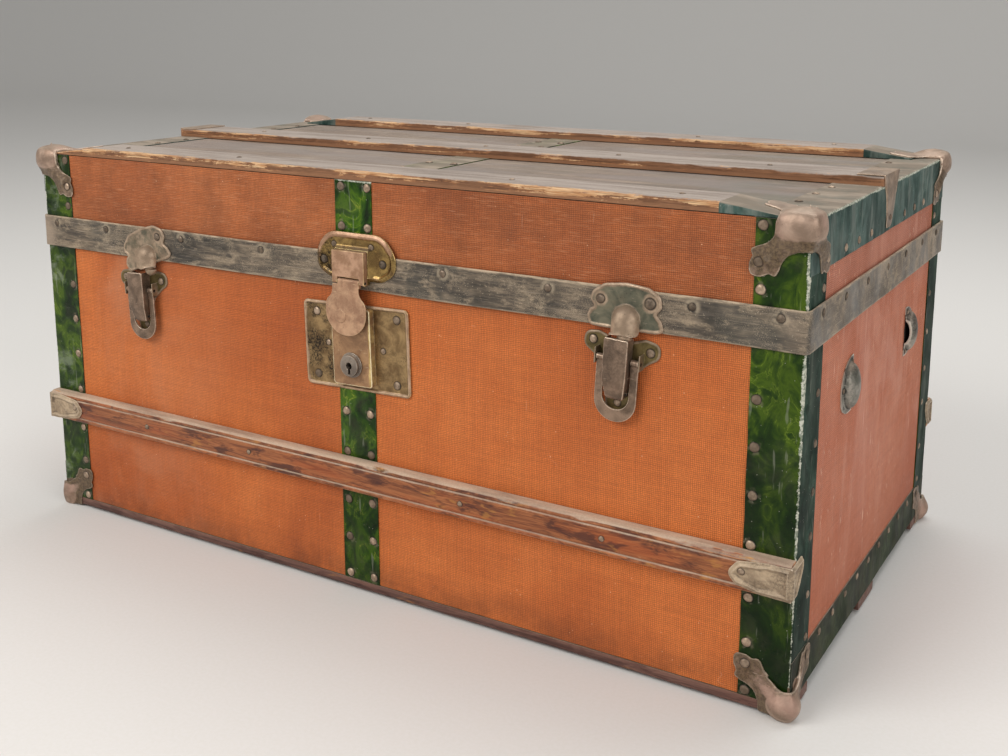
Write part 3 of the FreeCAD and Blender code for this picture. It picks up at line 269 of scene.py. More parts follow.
def nail_distance(me):
    """Distance in mm from the rim of the nearest nail head, clipped to 12."""
    out = np.full(len(me.vertices), 12.0)
    for k, v in enumerate(me.vertices):
        co, i, dist = tree.find(v.co)
        if i is not None:
            out[k] = min(12.0, (dist - ALL_NAILS[i][2]) * 1000)
    return out


def fold_distance(me, kind):
    """mm from the nearest fold of the sheet, clipped to 12."""
    co = coords(me) * 1000
    x, y, z = np.abs(co[:, 0]), np.abs(co[:, 1] - YS), co[:, 2] - ZS
    a, b, up, dn = 406.8 - x, 220.8 - y, 374.8 - z, z + 0.8
    if kind == "corner":
        d = np.maximum(a, b)
    elif kind == "end":
        d = np.minimum(np.maximum(a, up), np.maximum(a, dn))
    else:
        d = np.minimum(np.maximum(b, up), np.maximum(b, dn))
    set_attr(me, "fold", np.clip(d - 0.5, 0, 12))


def masks(me, nail=True, smooth=3):
    # signed convexity, read by the materials for pale ridges, darker hollows and a painted edge highlight on wood
    set_attr(me, "surface_convexity", curvature(me, smooth))
    if nail:
        set_attr(me, "nail", nail_distance(me))


# ------------------------------------------------------------------ sheet metal
def round_path(pts, r, du):
    """Open polyline in 3-D with filleted corners, resampled about every du."""
    pts = [np.array(p, float) for p in pts]
    line = [pts[0]]
    for i in range(1, len(pts) - 1):
        p, a, b = pts[i], pts[i - 1] - pts[i], pts[i + 1] - pts[i]
        la, lb = np.linalg.norm(a), np.linalg.norm(b)
        a, b = a / la, b / lb
        ang = math.acos(np.clip(a @ b, -1, 1))
        t = min(r / math.tan(ang / 2), 0.45 * la, 0.45 * lb)
        rr = t * math.tan(ang / 2)
        m = (a + b) / np.linalg.norm(a + b)
        c = p + m * rr / math.sin(ang / 2)
        s, e = p + a * t, p + b * t
        u, v = (s - c) / rr, (e - c) / rr
        tot = math.acos(np.clip(u @ v, -1, 1))
        for k in range(7):
            f = k / 6
            line.append(c + rr * (math.sin((1 - f) * tot) * u + math.sin(f * tot) * v) / math.sin(tot))
    line.append(pts[-1])
    out = []
    for a, b in zip(line[:-1], line[1:]):
        n = max(1, int(round(np.linalg.norm(b - a) / du)))
        for k in range(n):
            out.append(a + (b - a) * k / n)
    out.append(line[-1])
    return np.array(out)


def sweep_sheet(path, axis, s0, s1, ds, t, outward, keep=None, amp=0.3, edge=0.35, seed=0):
    """Closed thin sheet: path (outer surface, box mm) swept along axis from s0 to s1.
    outward gives the side that is outside.  Returns verts (box mm) and faces."""
    axis = np.array(axis, float)
    n = len(path)
    tang = np.gradient(path, axis=0)
    tang /= np.linalg.norm(tang, axis=1)[:, None]
    nor = np.cross(tang, axis)
    nor /= np.linalg.norm(nor, axis=1)[:, None]
    if (nor[n // 2] @ np.array(outward, float)) < 0:
        nor = -nor
    u = np.concatenate([[0], np.cumsum(np.linalg.norm(np.diff(path, axis=0), axis=1))])
    m = max(2, int(round((s1 - s0) / ds)) + 1)
    ss = np.linspace(s0, s1, m)
    P = path[:, None, :] + axis[None, None, :] * ss[None, :, None]
    N = np.repeat(nor[:, None, :], m, 1)
    T = np.repeat(tang[:, None, :], m, 1)
    flat = P.reshape(-1, 3)
    bulge = (fbm(flat / 1000, 26, 3, seed) - 0.42) * 2 * amp + (fbm(flat / 1000, 120, 2, seed + 5) - 0.5) * 0.35 * amp
    bulge = np.clip(bulge, -0.12, amp * 1.2).reshape(n, m)
    # free edges along the path's ends wander a little in the sheet's plane
    wander = (fbm(np.stack([ss / 1000, ss * 0 + seed, ss * 0], 1), 55, 3, seed + 9) - 0.5) * 2 * edge
    wander2 = (fbm(np.stack([ss / 1000, ss * 0 - seed, ss * 0 + 3], 1), 55, 3, seed + 19) - 0.5) * 2 * edge
    fall = np.exp(-(u / 3.0) ** 2)[:, None]
    fall2 = np.exp(-((u[-1] - u) / 3.0) ** 2)[:, None]
    lift = (fall * 0.25 + fall2 * 0.25) * (fbm(flat / 1000, 40, 2, seed + 3).reshape(n, m))
    O = P + N * (bulge + lift)[:, :, None] - T * (fall * wander[None, :])[:, :, None] + T * (fall2 * wander2[None, :])[:, :, None]
    I = P - N * t - T * (fall * wander[None, :])[:, :, None] + T * (fall2 * wander2[None, :])[:, :, None]
    idx = np.arange(n * m).reshape(n, m)
    ok = np.ones((n - 1, m - 1), bool)
    if keep is not None:
        for i in range(n - 1):
            for j in range(m - 1):
                ok[i, j] = keep(0.25 * (P[i, j] + P[i + 1, j] + P[i, j + 1] + P[i + 1, j + 1]))
    faces = []
    off = n * m

    def okay(i, j):
        return 0 <= i < n - 1 and 0 <= j < m - 1 and ok[i, j]

    for i in range(n - 1):
        for j in range(m - 1):
            if not ok[i, j]:
                continue
            a, b, c, d = idx[i, j], idx[i + 1, j], idx[i + 1, j + 1], idx[i, j + 1]
            faces.append((a, b, c, d))
            faces.append((a + off, d + off, c + off, b + off))
            if not okay(i - 1, j):
                faces.append((a, d, d + off, a + off))
            if not okay(i + 1, j):
                faces.append((b, b + off, c + off, c))
            if not okay(i, j - 1):
                faces.append((a, a + off, b + off, b))
            if not okay(i, j + 1):
                faces.append((d, c, c + off, d + off))
    verts = np.concatenate([O.reshape(-1, 3), I.reshape(-1, 3)])
    used = np.unique(np.array(faces).ravel())
    remap = -np.ones(len(verts), np.int64)
    remap[used] = np.arange(len(used))
    faces = [tuple(int(remap[q]) for q in f) for f in faces]
    return verts[used], faces


def joined(name, pieces):
    """One mesh of several (verts in box mm, faces)."""
    vs, fs, base = [], [], 0
    for v, f in pieces:
        vs.append(v)
        fs += [tuple(q + base for q in x) for x in f]
        base += len(v)
    me = make_mesh(name, to_row(np.concatenate(vs)), fs)
    fix_normals(me)
    return me


def sharpen(me, degrees=40):
    """Keep hard edges hard under smooth shading."""
    bm = bmesh.new()
    bm.from_mesh(me)
    lim = math.radians(degrees)
    for e in bm.edges:
        if len(e.link_faces) == 2:
            e.smooth = e.calc_face_angle(0) < lim
    bm.to_mesh(me)
    bm.free()
    me.update()


# ------------------------------------------------------------------ node materials
def lin(h, k=1.0):
    h = h.lstrip("#")
    v = [int(h[i:i + 2], 16) / 255 for i in (0, 2, 4)]
    return tuple((c / 12.92 if c <= 0.04045 else ((c + 0.055) / 1.055) ** 2.4) * k for c in v) + (1.0,)


def tint(h, r, g, b):
    c = lin(h)
    return (c[0] * r, c[1] * g, c[2] * b, 1.0)


class Mat:
    """Short hand for building a procedural material."""

    def __init__(s, name):
        s.m = bpy.data.materials.new(name)
        s.m.use_nodes = True
        s.t = s.m.node_tree
        s.t.nodes.clear()
        s.out = s.t.nodes.new("ShaderNodeOutputMaterial")
        s.b = s.t.nodes.new("ShaderNodeBsdfPrincipled")
        s.t.links.new(s.b.outputs[0], s.out.inputs[0])
        s.p = s.t.nodes.new("ShaderNodeTexCoord").outputs["Object"]
        x = s.t.nodes.new("ShaderNodeSeparateXYZ")
        s.t.links.new(s.p, x.inputs[0])
        s.x, s.y, s.z = x.outputs
        s._nz = None

    def _in(s, sock, v):
        if v is None:
            return
        if isinstance(v, bpy.types.NodeSocket):
            s.t.links.new(v, sock)
        else:
            sock.default_value = v

    def math(s, op, a, b=None, c=None, clamp=False):
        n = s.t.nodes.new("ShaderNodeMath")
        n.operation, n.use_clamp = op, clamp
        for i, v in enumerate((a, b, c)):
            s._in(n.inputs[i], v)
        return n.outputs[0]

    def add(s, a, b): return s.math("ADD", a, b)
    def sub(s, a, b): return s.math("SUBTRACT", a, b)
    def mul(s, a, b): return s.math("MULTIPLY", a, b)
    def inv(s, a): return s.math("SUBTRACT", 1.0, a)
    def mx(s, a, b): return s.math("MAXIMUM", a, b)
    def mn(s, a, b): return s.math("MINIMUM", a, b)

    def vec(s, sx=1, sy=1, sz=1, off=(0, 0, 0), src=None, rot=(0, 0, 0)):
        n = s.t.nodes.new("ShaderNodeMapping")
        n.inputs["Scale"].default_value = (sx, sy, sz)
        n.inputs["Location"].default_value = off
        n.inputs["Rotation"].default_value = rot
        s._in(n.inputs[0], src or s.p)
        return n.outputs[0]

    def noise(s, scale, detail=2, rough=0.5, dist=0.0, vec=None):
        n = s.t.nodes.new("ShaderNodeTexNoise")
        n.inputs["Scale"].default_value = scale
        n.inputs["Detail"].default_value = detail
        n.inputs["Roughness"].default_value = rough
        n.inputs["Distortion"].default_value = dist
        s._in(n.inputs["Vector"], vec if vec is not None else s.p)
        return n.outputs["Fac"]

    def vor(s, scale, vec=None, feature="F1", rnd=1.0, out="Distance"):
        n = s.t.nodes.new("ShaderNodeTexVoronoi")
        n.feature = feature
        n.inputs["Scale"].default_value = scale
        n.inputs["Randomness"].default_value = rnd
        s._in(n.inputs["Vector"], vec if vec is not None else s.p)
        return n.outputs[out]

    def map(s, v, a, b, c=0.0, d=1.0, smooth=True):
        n = s.t.nodes.new("ShaderNodeMapRange")
        n.interpolation_type = "SMOOTHSTEP" if smooth else "LINEAR"
        n.clamp = True
        s._in(n.inputs["Value"], v)
        for k, q in (("From Min", a), ("From Max", b), ("To Min", c), ("To Max", d)):
            n.inputs[k].default_value = q
        return n.outputs["Result"]

    def ramp(s, v, stops):
        n = s.t.nodes.new("ShaderNodeValToRGB")
        e = n.color_ramp.elements
        while len(e) < len(stops):
            e.new(0.5)
        for k, (pos, col) in enumerate(stops):
            e[k].position = pos
            e[k].color = lin(col) if isinstance(col, str) else col
        s._in(n.inputs[0], v)
        return n.outputs[0]

    def col(s, h):
        return lin(h) if isinstance(h, str) else h

    def mix(s, fac, a, b, blend="MIX"):
        n = s.t.nodes.new("ShaderNodeMix")
        n.data_type, n.blend_type = "RGBA", blend
        n.clamp_factor = True
        s._in(n.inputs[0], fac)
        s._in(n.inputs[6], s.col(a))
        s._in(n.inputs[7], s.col(b))
        return n.outputs[2]

    def scale_col(s, c, v):
        """Colour times a value."""
        n = s.t.nodes.new("ShaderNodeVectorMath")
        n.operation = "SCALE"
        s._in(n.inputs[0], c)
        s._in(n.inputs["Scale"], v)
        return n.outputs[0]

    def attr(s, name):
        n = s.t.nodes.new("ShaderNodeAttribute")
        n.attribute_name = name
        return n.outputs["Fac"]

    def up(s):
        """How far the surface faces up, -1..1."""
        if s._nz is None:
            g = s.t.nodes.new("ShaderNodeTexCoord")
            x = s.t.nodes.new("ShaderNodeSeparateXYZ")
            s.t.links.new(g.outputs["Normal"], x.inputs[0])
            s._n3 = x.outputs
            s._nz = x.outputs[2]
        return s._nz

    def facing(s, axis):
        s.up()
        return s._n3[axis]

    def bump(s, h, dist=0.0003, strength=1.0, after=None):
        n = s.t.nodes.new("ShaderNodeBump")
        n.inputs["Strength"].default_value = strength
        n.inputs["Distance"].default_value = dist
        s._in(n.inputs["Height"], h)
        if after is not None:
            s._in(n.inputs["Normal"], after)
        return n.outputs[0]

    def done(s, color, rough, metal=0.0, normal=None, coat=0.0, coat_rough=0.3, spec=0.5, sheen=0.0):
        s._in(s.b.inputs["Base Color"], s.col(color))
        s._in(s.b.inputs["Roughness"], rough)
        s._in(s.b.inputs["Metallic"], metal)
        s.b.inputs["Specular IOR Level"].default_value = spec
        s.b.inputs["Coat Weight"].default_value = coat
        s.b.inputs["Coat Roughness"].default_value = coat_rough
        s.b.inputs["Sheen Weight"].default_value = sheen
        if normal is not None:
            s._in(s.b.inputs["Normal"], normal)
        return s.m


def weave(M, u, v, pitch=0.0016, warp=0.00035):
    """Plain-weave height 0..1 over two coordinates in metres, a little uneven."""
    wob = M.mul(M.sub(M.noise(45, 3, 0.6), 0.5), warp * 9)
    wob2 = M.mul(M.sub(M.noise(61, 3, 0.6, vec=M.vec(off=(3, 5, 7))), 0.5), warp * 9)
    a = M.math("ABSOLUTE", M.math("SINE", M.mul(M.add(u, wob), math.pi / pitch)))
    b = M.math("ABSOLUTE", M.math("SINE", M.mul(M.add(v, wob2), math.pi / pitch)))
    return a, b, M.math("POWER", M.mul(a, b), 0.6)


def canvas(name, kind):
    """Painted canvas: front (X,Z), end (Y,Z) or top (X,Y)."""
    M = Mat(name)
    if kind in ("front", "lidfront"):
        u, v = M.x, M.z
        hs, vs = M.vec(14, 1, 420), M.vec(420, 1, 12)
    elif kind in ("end", "lidend"):
        u, v = M.y, M.z
        hs, vs = M.vec(1, 14, 420), M.vec(1, 420, 12)
    else:
        u, v = M.x, M.y
        hs, vs = M.vec(14, 420, 1), M.vec(420, 12, 1)
    a, b, w = weave(M, u, v)
    streak = M.add(M.mul(M.noise(1, 3, 0.65, vec=hs), 0.5), M.mul(M.noise(1, 3, 0.65, vec=vs), 0.5))
    big = M.noise(4.5, 4, 0.55, 0.4)
    mid = M.noise(22, 4, 0.6)
    fine = M.noise(900, 2, 0.5)
    base = {"front": ("#a85426", "#ce7439", "#bb6330"), "lidfront": ("#9c532b", "#bb6d3d", "#a85e33"),
            "end": ("#a8573a", "#c07556", "#b46649"), "lidend": ("#9b563d", "#b8735a", "#a9644b"),
            "top": ("#837367", "#a19183", "#928073")}[kind]
    c = M.mix(M.map(big, 0.3, 0.7), base[0], base[1])
    c = M.mix(M.map(mid, 0.35, 0.75, 0, 0.6), c, base[2])
    c = M.scale_col(c, M.map(streak, 0.25, 0.75, 0.80, 1.17, False))
    c = M.scale_col(c, M.map(w, 0.05, 0.85, 0.50, 1.21, False))
    c = M.scale_col(c, M.map(fine, 0.2, 0.8, 0.82, 1.18, False))
    if kind in ("front", "lidfront"):
        # painted shade just under the band; the canvas is also darker along the foot
        zr = M.sub(M.z, ZS / 1000)
        foot = M.map(zr, 0.0, 0.035, 0.5, 0.0)
        under = M.map(zr, 0.262, 0.282, 0.0, 0.35)
        band_shade_and_foot_dark = M.mul(M.add(foot, under), M.map(M.noise(30, 4, 0.6), 0.3, 0.7))
        c = M.mix(band_shade_and_foot_dark, c, "#4e2c1c")
        # pale rubbed haze at the left and scuffed specks
        haze = M.mul(M.map(M.x, -0.40, -0.10, 0.55 if kind == "front" else 0.2, 0.0), M.map(M.noise(7, 5, 0.65, 0.6), 0.42, 0.75))
        c = M.mix(haze, c, "#c98f6d")
    if kind in ("end", "lidend"):
        zr = M.sub(M.z, ZS / 1000)
        # the pale streaks grow stronger towards the top and the haze towards the rear: real marks, strengthened there
        # as a painted sheen
        pale = M.mul(M.map(M.noise(1, 5, 0.65, 0.5, vec=M.vec(1, 38, 7)), 0.50, 0.78), M.map(zr, 0.03, 0.20, 0.35, 0.95))
        c = M.mix(M.mul(pale, 0.42), c, "#d6a593")
        haze = M.mul(M.map(M.noise(9, 5, 0.6, 0.8, vec=M.vec(off=(2, 1, 4))), 0.48, 0.8), M.map(M.y, -0.2, 0.1, 0.2, 0.75))
        c = M.mix(M.mul(haze, 0.7), c, "#cf9885")
        streaks = M.map(M.noise(1, 3, 0.6, 0.2, vec=M.vec(1, 230, 16)), 0.62, 0.72)
        streaks = M.mul(streaks, M.map(M.noise(14, 3, 0.6), 0.5, 0.62))
        c = M.mix(M.mul(streaks, 0.5), c, "#e6c0b2")
        fl = M.map(M.noise(1, 2, 0.6, 0.2, vec=M.vec(1, 420, 75, rot=(0.22, 0, 0))), 0.68, 0.73)
        fl = M.mul(fl, M.map(M.noise(11, 4, 0.65, vec=M.vec(off=(3, 3, 9))), 0.44, 0.56))
        c = M.mix(M.mul(fl, 0.75), c, "#ecd0bb")
        worn = M.mul(M.map(M.math("ABSOLUTE", M.add(M.y, 0.01)), 0.0, 0.13, 1.0, 0.0), M.map(zr, 0.05, 0.19, 0.25, 1.0))
        worn = M.mul(worn, M.map(M.noise(1, 5, 0.65, 0.7, vec=M.vec(11, 16, 8, off=(2, 2, 8))), 0.42, 0.64))
        c = M.mix(M.mul(worn, 0.33), c, "#d8a08a")
        c = M.mix(M.map(zr, 0.10, 0.0, 0, 0.35), c, "#8e4a2c")
    if kind == "top":
        green = M.mul(M.map(M.noise(9, 5, 0.6, 0.5), 0.4, 0.7), M.map(M.x, 0.05, 0.33, 0.25, 0.8))
        c = M.mix(M.mul(green, 0.6), c, "#6f7468")
        pale = M.map(M.noise(1, 4, 0.6, vec=M.vec(16, 60, 1)), 0.55, 0.75)
        c = M.mix(M.mul(pale, 0.55), c, "#b09d8b")
        line = M.noise(1, 3, 0.6, 0.8, vec=M.vec(5, 42, 1, off=(2, 6, 1)))
        crack = M.mul(M.map(M.math("ABSOLUTE", M.sub(line, 0.5)), 0.0, 0.006, 1, 0), M.map(M.noise(21, 4, 0.65), 0.54, 0.62))
        c = M.mix(M.mul(crack, 0.8), c, "#35322c")
        st1 = M.map(M.noise(1, 5, 0.7, 0.2, vec=M.vec(9, 260, 1)), 0.40, 0.62)
        c = M.scale_col(c, M.map(st1, 0, 1, 0.90, 1.08, False))
        cool = M.map(M.noise(1, 4, 0.6, 0.4, vec=M.vec(4, 22, 1, off=(7, 1, 3))), 0.45, 0.62)
        c = M.mix(M.mul(cool, 0.35), c, "#8f8988")
    if kind == "lidfront":
        th = M.map(M.noise(1, 4, 0.7, vec=M.vec(60, 1, 760)), 0.52, 0.70)
        c = M.mix(M.mul(th, 0.3), c, "#d3936a")
    # pale specks and short scratches
    spk = M.map(M.vor(230), 0.08, 0.14, 1, 0)
    spk = M.mul(spk, M.map(M.noise(60, 2), 0.60, 0.68))
    c = M.mix(M.mul(spk, 0.8), c, "#e3b08a" if kind != "top" else "#b5ad9c")
    s1 = M.map(M.noise(1, 1, 0.5, vec=M.vec(55, 55, 900, rot=(0, 0.5, 0))), 0.79, 0.83)
    s2 = M.map(M.noise(1, 1, 0.5, vec=M.vec(800, 800, 50, rot=(0, -0.35, 0))), 0.79, 0.83)
    arc = M.noise(1, 2, 0.5, 1.4, vec=M.vec(9, 9, 9, off=(3, 1, 2)))
    arc = M.mul(M.map(M.math("ABSOLUTE", M.sub(arc, 0.5)), 0.0, 0.0022, 1, 0), M.map(M.noise(16, 3, 0.6), 0.60, 0.66))
    c = M.mix(M.mul(M.mx(M.mul(s1, 0.5), M.mul(s2, 0.35)), 0.7), c, "#e7b391" if kind != "top" else "#b8b0a0")
    c = M.mix(M.mul(arc, 0.18), c, "#e9c0a2" if kind != "top" else "#c4b8a8")
    dark = M.map(M.noise(1, 5, 0.7, vec=M.vec(7, 13, 26, off=(9, 2, 5))), 0.66, 0.80)
    c = M.mix(M.mul(dark, 0.32), c, "#5a3220" if kind != "top" else "#35332d")
    h = M.add(w, M.mul(streak, 0.8))
    n = M.bump(h, 0.00026, 0.9)
    n = M.bump(M.noise(18, 4, 0.6), 0.0012, 0.5, after=n)
    return M.done(c, M.map(mid, 0.2, 0.8, 0.55, 0.72), 0, n, spec=0.32)


def tin(name, dark="#061a07", mid="#123409", bright="#2c5a12", glint="#6f8c33", dust="#746c5b", worn="#c3c3b4", swirl=1.0,
        veil=0.12, rough=(0.2, 0.42), lit=0.4, fold_w=1.0, streaky=0.0, spec=0.26):
    """Painted tin with a marbled, brushed finish, worn white along its folds."""
    M = Mat(name)
    n1 = M.noise(13, 3, 0.5, 1.6 * swirl, vec=M.vec(1.5, 1.5, 1.0))
    n2 = M.noise(34, 4, 0.55, 2.2 * swirl, vec=M.vec(1.3, 1.3, 0.9, off=(4, 7, 1)))
    strokes = M.noise(1, 3, 0.6, 1.2, vec=M.vec(120, 120, 34, rot=(0.5, 0.6, 0)))
    t = M.add(M.mul(n1, 0.55), M.mul(n2, 0.45))

    def paint(dark, mid, bright, glint):
        c = M.ramp(t, [(0.38, dark), (0.48, mid), (0.57, bright), (0.64, mid), (0.74, dark)])
        ridge = M.map(M.math("ABSOLUTE", M.sub(n2, 0.52)), 0.0, 0.022, 1.0, 0.0)
        ridge = M.mul(ridge, M.map(n1, 0.50, 0.62))
        c = M.mix(M.mul(ridge, lit), c, glint)
        fan = M.mul(M.map(strokes, 0.52, 0.72), M.map(n1, 0.46, 0.60))
        return M.mix(M.mul(fan, lit * 0.8), c, bright)

    c = paint(dark, mid, bright, glint)
    c = M.mix(M.map(M.noise(7, 3, 0.5, vec=M.vec(off=(1, 1, 6))), 0.44, 0.60, 0.6, 0.0), c, dark)
    if streaky:
        vs = M.noise(1, 4, 0.65, 0.2, vec=M.vec(70, 70, 9))
        c = M.mix(M.mul(M.map(vs, 0.50, 0.72), streaky), c, dust)
        c = M.mix(M.mul(M.map(vs, 0.50, 0.36), streaky), c, dark)
    du = M.mul(M.map(M.noise(30, 5, 0.65), 0.45, 0.78), veil)
    c = M.mix(du, c, dust)
    line = M.map(M.noise(1, 2, 0.5, vec=M.vec(260, 260, 30)), 0.66, 0.72)
    c = M.mix(M.mul(line, 0.14), c, worn)
    spk = M.mul(M.map(M.vor(380), 0.08, 0.14, 1, 0), M.map(M.noise(95, 2), 0.57, 0.63))
    c = M.mix(M.mul(spk, 0.7), c, worn)
    scuff = M.mul(M.map(M.x, -0.370, -0.385), M.map(M.noise(1, 5, 0.68, 0.5, vec=M.vec(30, 30, 46)), 0.50, 0.66))
    c = M.mix(M.mul(scuff, 0.3), c, "#9aa294")
    # painted contact shadow tight round the nail heads, and a rubbed, dusty ring beyond
    nd = M.attr("nail")
    c = M.mix(M.mul(M.map(nd, -0.2, 0.8, 1.0, 0.0), 0.85), c, "#050805")
    halo = M.mul(M.map(nd, 0.8, 3.4, 0.4, 0.0), M.map(M.noise(190, 3), 0.48, 0.66))
    c = M.mix(halo, c, dust)
    # bare metal on folds
    fo = M.attr("fold")
    ragged = M.add(M.mul(M.noise(24, 3, 0.6), 4.2), M.mul(M.noise(330, 4, 0.75), 4.6))
    high = M.map(M.sub(M.z, ZS / 1000), 0.10, 0.34, 3.6, 2.7, False)
    f = M.map(M.sub(M.add(fo, high), M.mul(ragged, fold_w)), -0.35, 0.3, 1.0, 0.0)
    c = M.mix(f, c, M.mix(M.map(M.noise(420, 2), 0.4, 0.6), worn, "#7f8778"))
    top = M.mul(M.map(M.up(), 0.5, 0.9), M.map(M.noise(26, 5, 0.65), 0.3, 0.60, 0.6, 0.97))
    c = M.mix(top, c, M.mix(M.map(M.noise(1, 4, 0.6, vec=M.vec(14, 60, 60)), 0.42, 0.64), "#83786b", "#a19384"))
    n = M.bump(M.add(t, M.mul(strokes, 0.4)), 0.00022, 0.5)
    n = M.bump(M.noise(60, 3), 0.0006, 0.35, after=n)
    r = M.map(M.add(M.noise(35, 4), du), 0.3, 0.9, rough[0], rough[1])
    r = M.mx(r, M.mul(M.mx(top, f), 0.75))
    return M.done(c, r, 0.0, n, spec=spec)


def band_mat(name):
    M = Mat(name)
    a = M.noise(1, 6, 0.72, 0.2, vec=M.vec(26, 26, 210))
    ae = M.noise(1, 6, 0.72, 0.6, vec=M.vec(26, 70, 32))
    fx = M.map(M.math("ABSOLUTE", M.facing(0)), 0.5, 0.8)
    a = M.add(M.mul(a, M.inv(fx)), M.mul(ae, fx))
    c = M.ramp(a, [(0.32, "#332d28"), (0.46, "#574d42"), (0.55, "#786a59"), (0.70, "#998873")])
    dk = M.map(M.noise(9, 4, 0.6, 0.5, vec=M.vec(off=(5, 1, 2))), 0.44, 0.60)
    c = M.mix(M.mul(dk, 0.86), c, M.mix(M.map(M.noise(1, 5, 0.75, vec=M.vec(60, 60, 420)), 0.44, 0.64), "#23221f", "#4c4640"))
    gl = M.map(M.noise(7, 3, 0.6, vec=M.vec(off=(2, 8, 2))), 0.54, 0.66)
    c = M.mix(M.mul(gl, 0.25), c, "#5b5a52")
    blotch = M.mul(M.map(M.noise(1, 6, 0.72, 0.3, vec=M.vec(40, 40, 75)), 0.50, 0.62), M.map(M.noise(520, 3, 0.8), 0.36, 0.60, 0.35, 1.0))
    c = M.mix(M.mul(blotch, 0.62), c, "#a5937b")
    grit = M.mul(M.map(M.noise(1500, 2, 0.8), 0.55, 0.62), M.map(M.noise(30, 4, 0.65, vec=M.vec(off=(4, 4, 1))), 0.42, 0.58))
    c = M.mix(M.mul(grit, 0.55), c, "#c3b096")
    sc = M.map(M.noise(1, 3, 0.6, vec=M.vec(30, 30, 1300)), 0.60, 0.70)
    c = M.mix(M.mul(sc, 0.42), c, "#b3a48f")
    scd = M.map(M.noise(1, 3, 0.6, vec=M.vec(24, 24, 1100, off=(3, 3, 3))), 0.60, 0.70)
    c = M.mix(M.mul(scd, 0.5), c, "#2a2521")
    zr = M.sub(M.z, ZS / 1000)
    topedge = M.mul(M.map(zr, 0.3076, 0.3096), M.map(M.noise(1, 4, 0.7, vec=M.vec(60, 60, 300)), 0.38, 0.6, 0.15, 1.0))
    c = M.mix(topedge, c, "#bba78e")
    botedge = M.mul(M.map(zr, 0.2784, 0.2800, 1.0, 0.0), M.map(M.noise(60, 3), 0.35, 0.6, 0.1, 0.9))
    c = M.mix(botedge, c, "#a0917c")
    # painted contact shadow round the nail heads, and a rubbed pale ring beyond
    nd = M.attr("nail")
    c = M.mix(M.map(nd, 0.0, 1.3, 0.9, 0.0), c, "#1a1714")
    c = M.mix(M.mul(M.map(nd, 1.0, 4.5, 0.6, 0.0), M.map(M.noise(150, 3), 0.4, 0.6)), c, "#a59680")
    spk = M.mul(M.map(M.vor(420), 0.1, 0.2, 1, 0), M.map(M.noise(80, 2), 0.45, 0.55))
    c = M.mix(M.mul(spk, 0.55), c, "#c0b098")
    # the corners and ends are rubbed paler
    blue = M.mul(fx, M.map(M.noise(1, 4, 0.65, 0.5, vec=M.vec(20, 24, 14, off=(1, 2, 5))), 0.47, 0.60))
    c = M.mix(M.mul(blue, 0.65), c, M.mix(M.map(M.noise(200, 4, 0.7), 0.4, 0.62), "#3d4145", "#6a6964"))
    side = M.mul(M.map(M.math("ABSOLUTE", M.x), 0.385, 0.402), M.map(fx, 0, 1, 1.0, 0.35))
    c = M.mix(M.mul(side, M.map(M.noise(24, 4, 0.6), 0.35, 0.62, 0.15, 0.75)), c, "#9c8a78")
    n = M.bump(M.add(a, M.mul(sc, -0.5)), 0.0005, 0.6)
    n = M.bump(M.noise(25, 3), 0.0015, 0.4, after=n)
    return M.done(c, M.map(M.noise(26, 4), 0.3, 0.7, 0.42, 0.7), 0, n, spec=0.4)


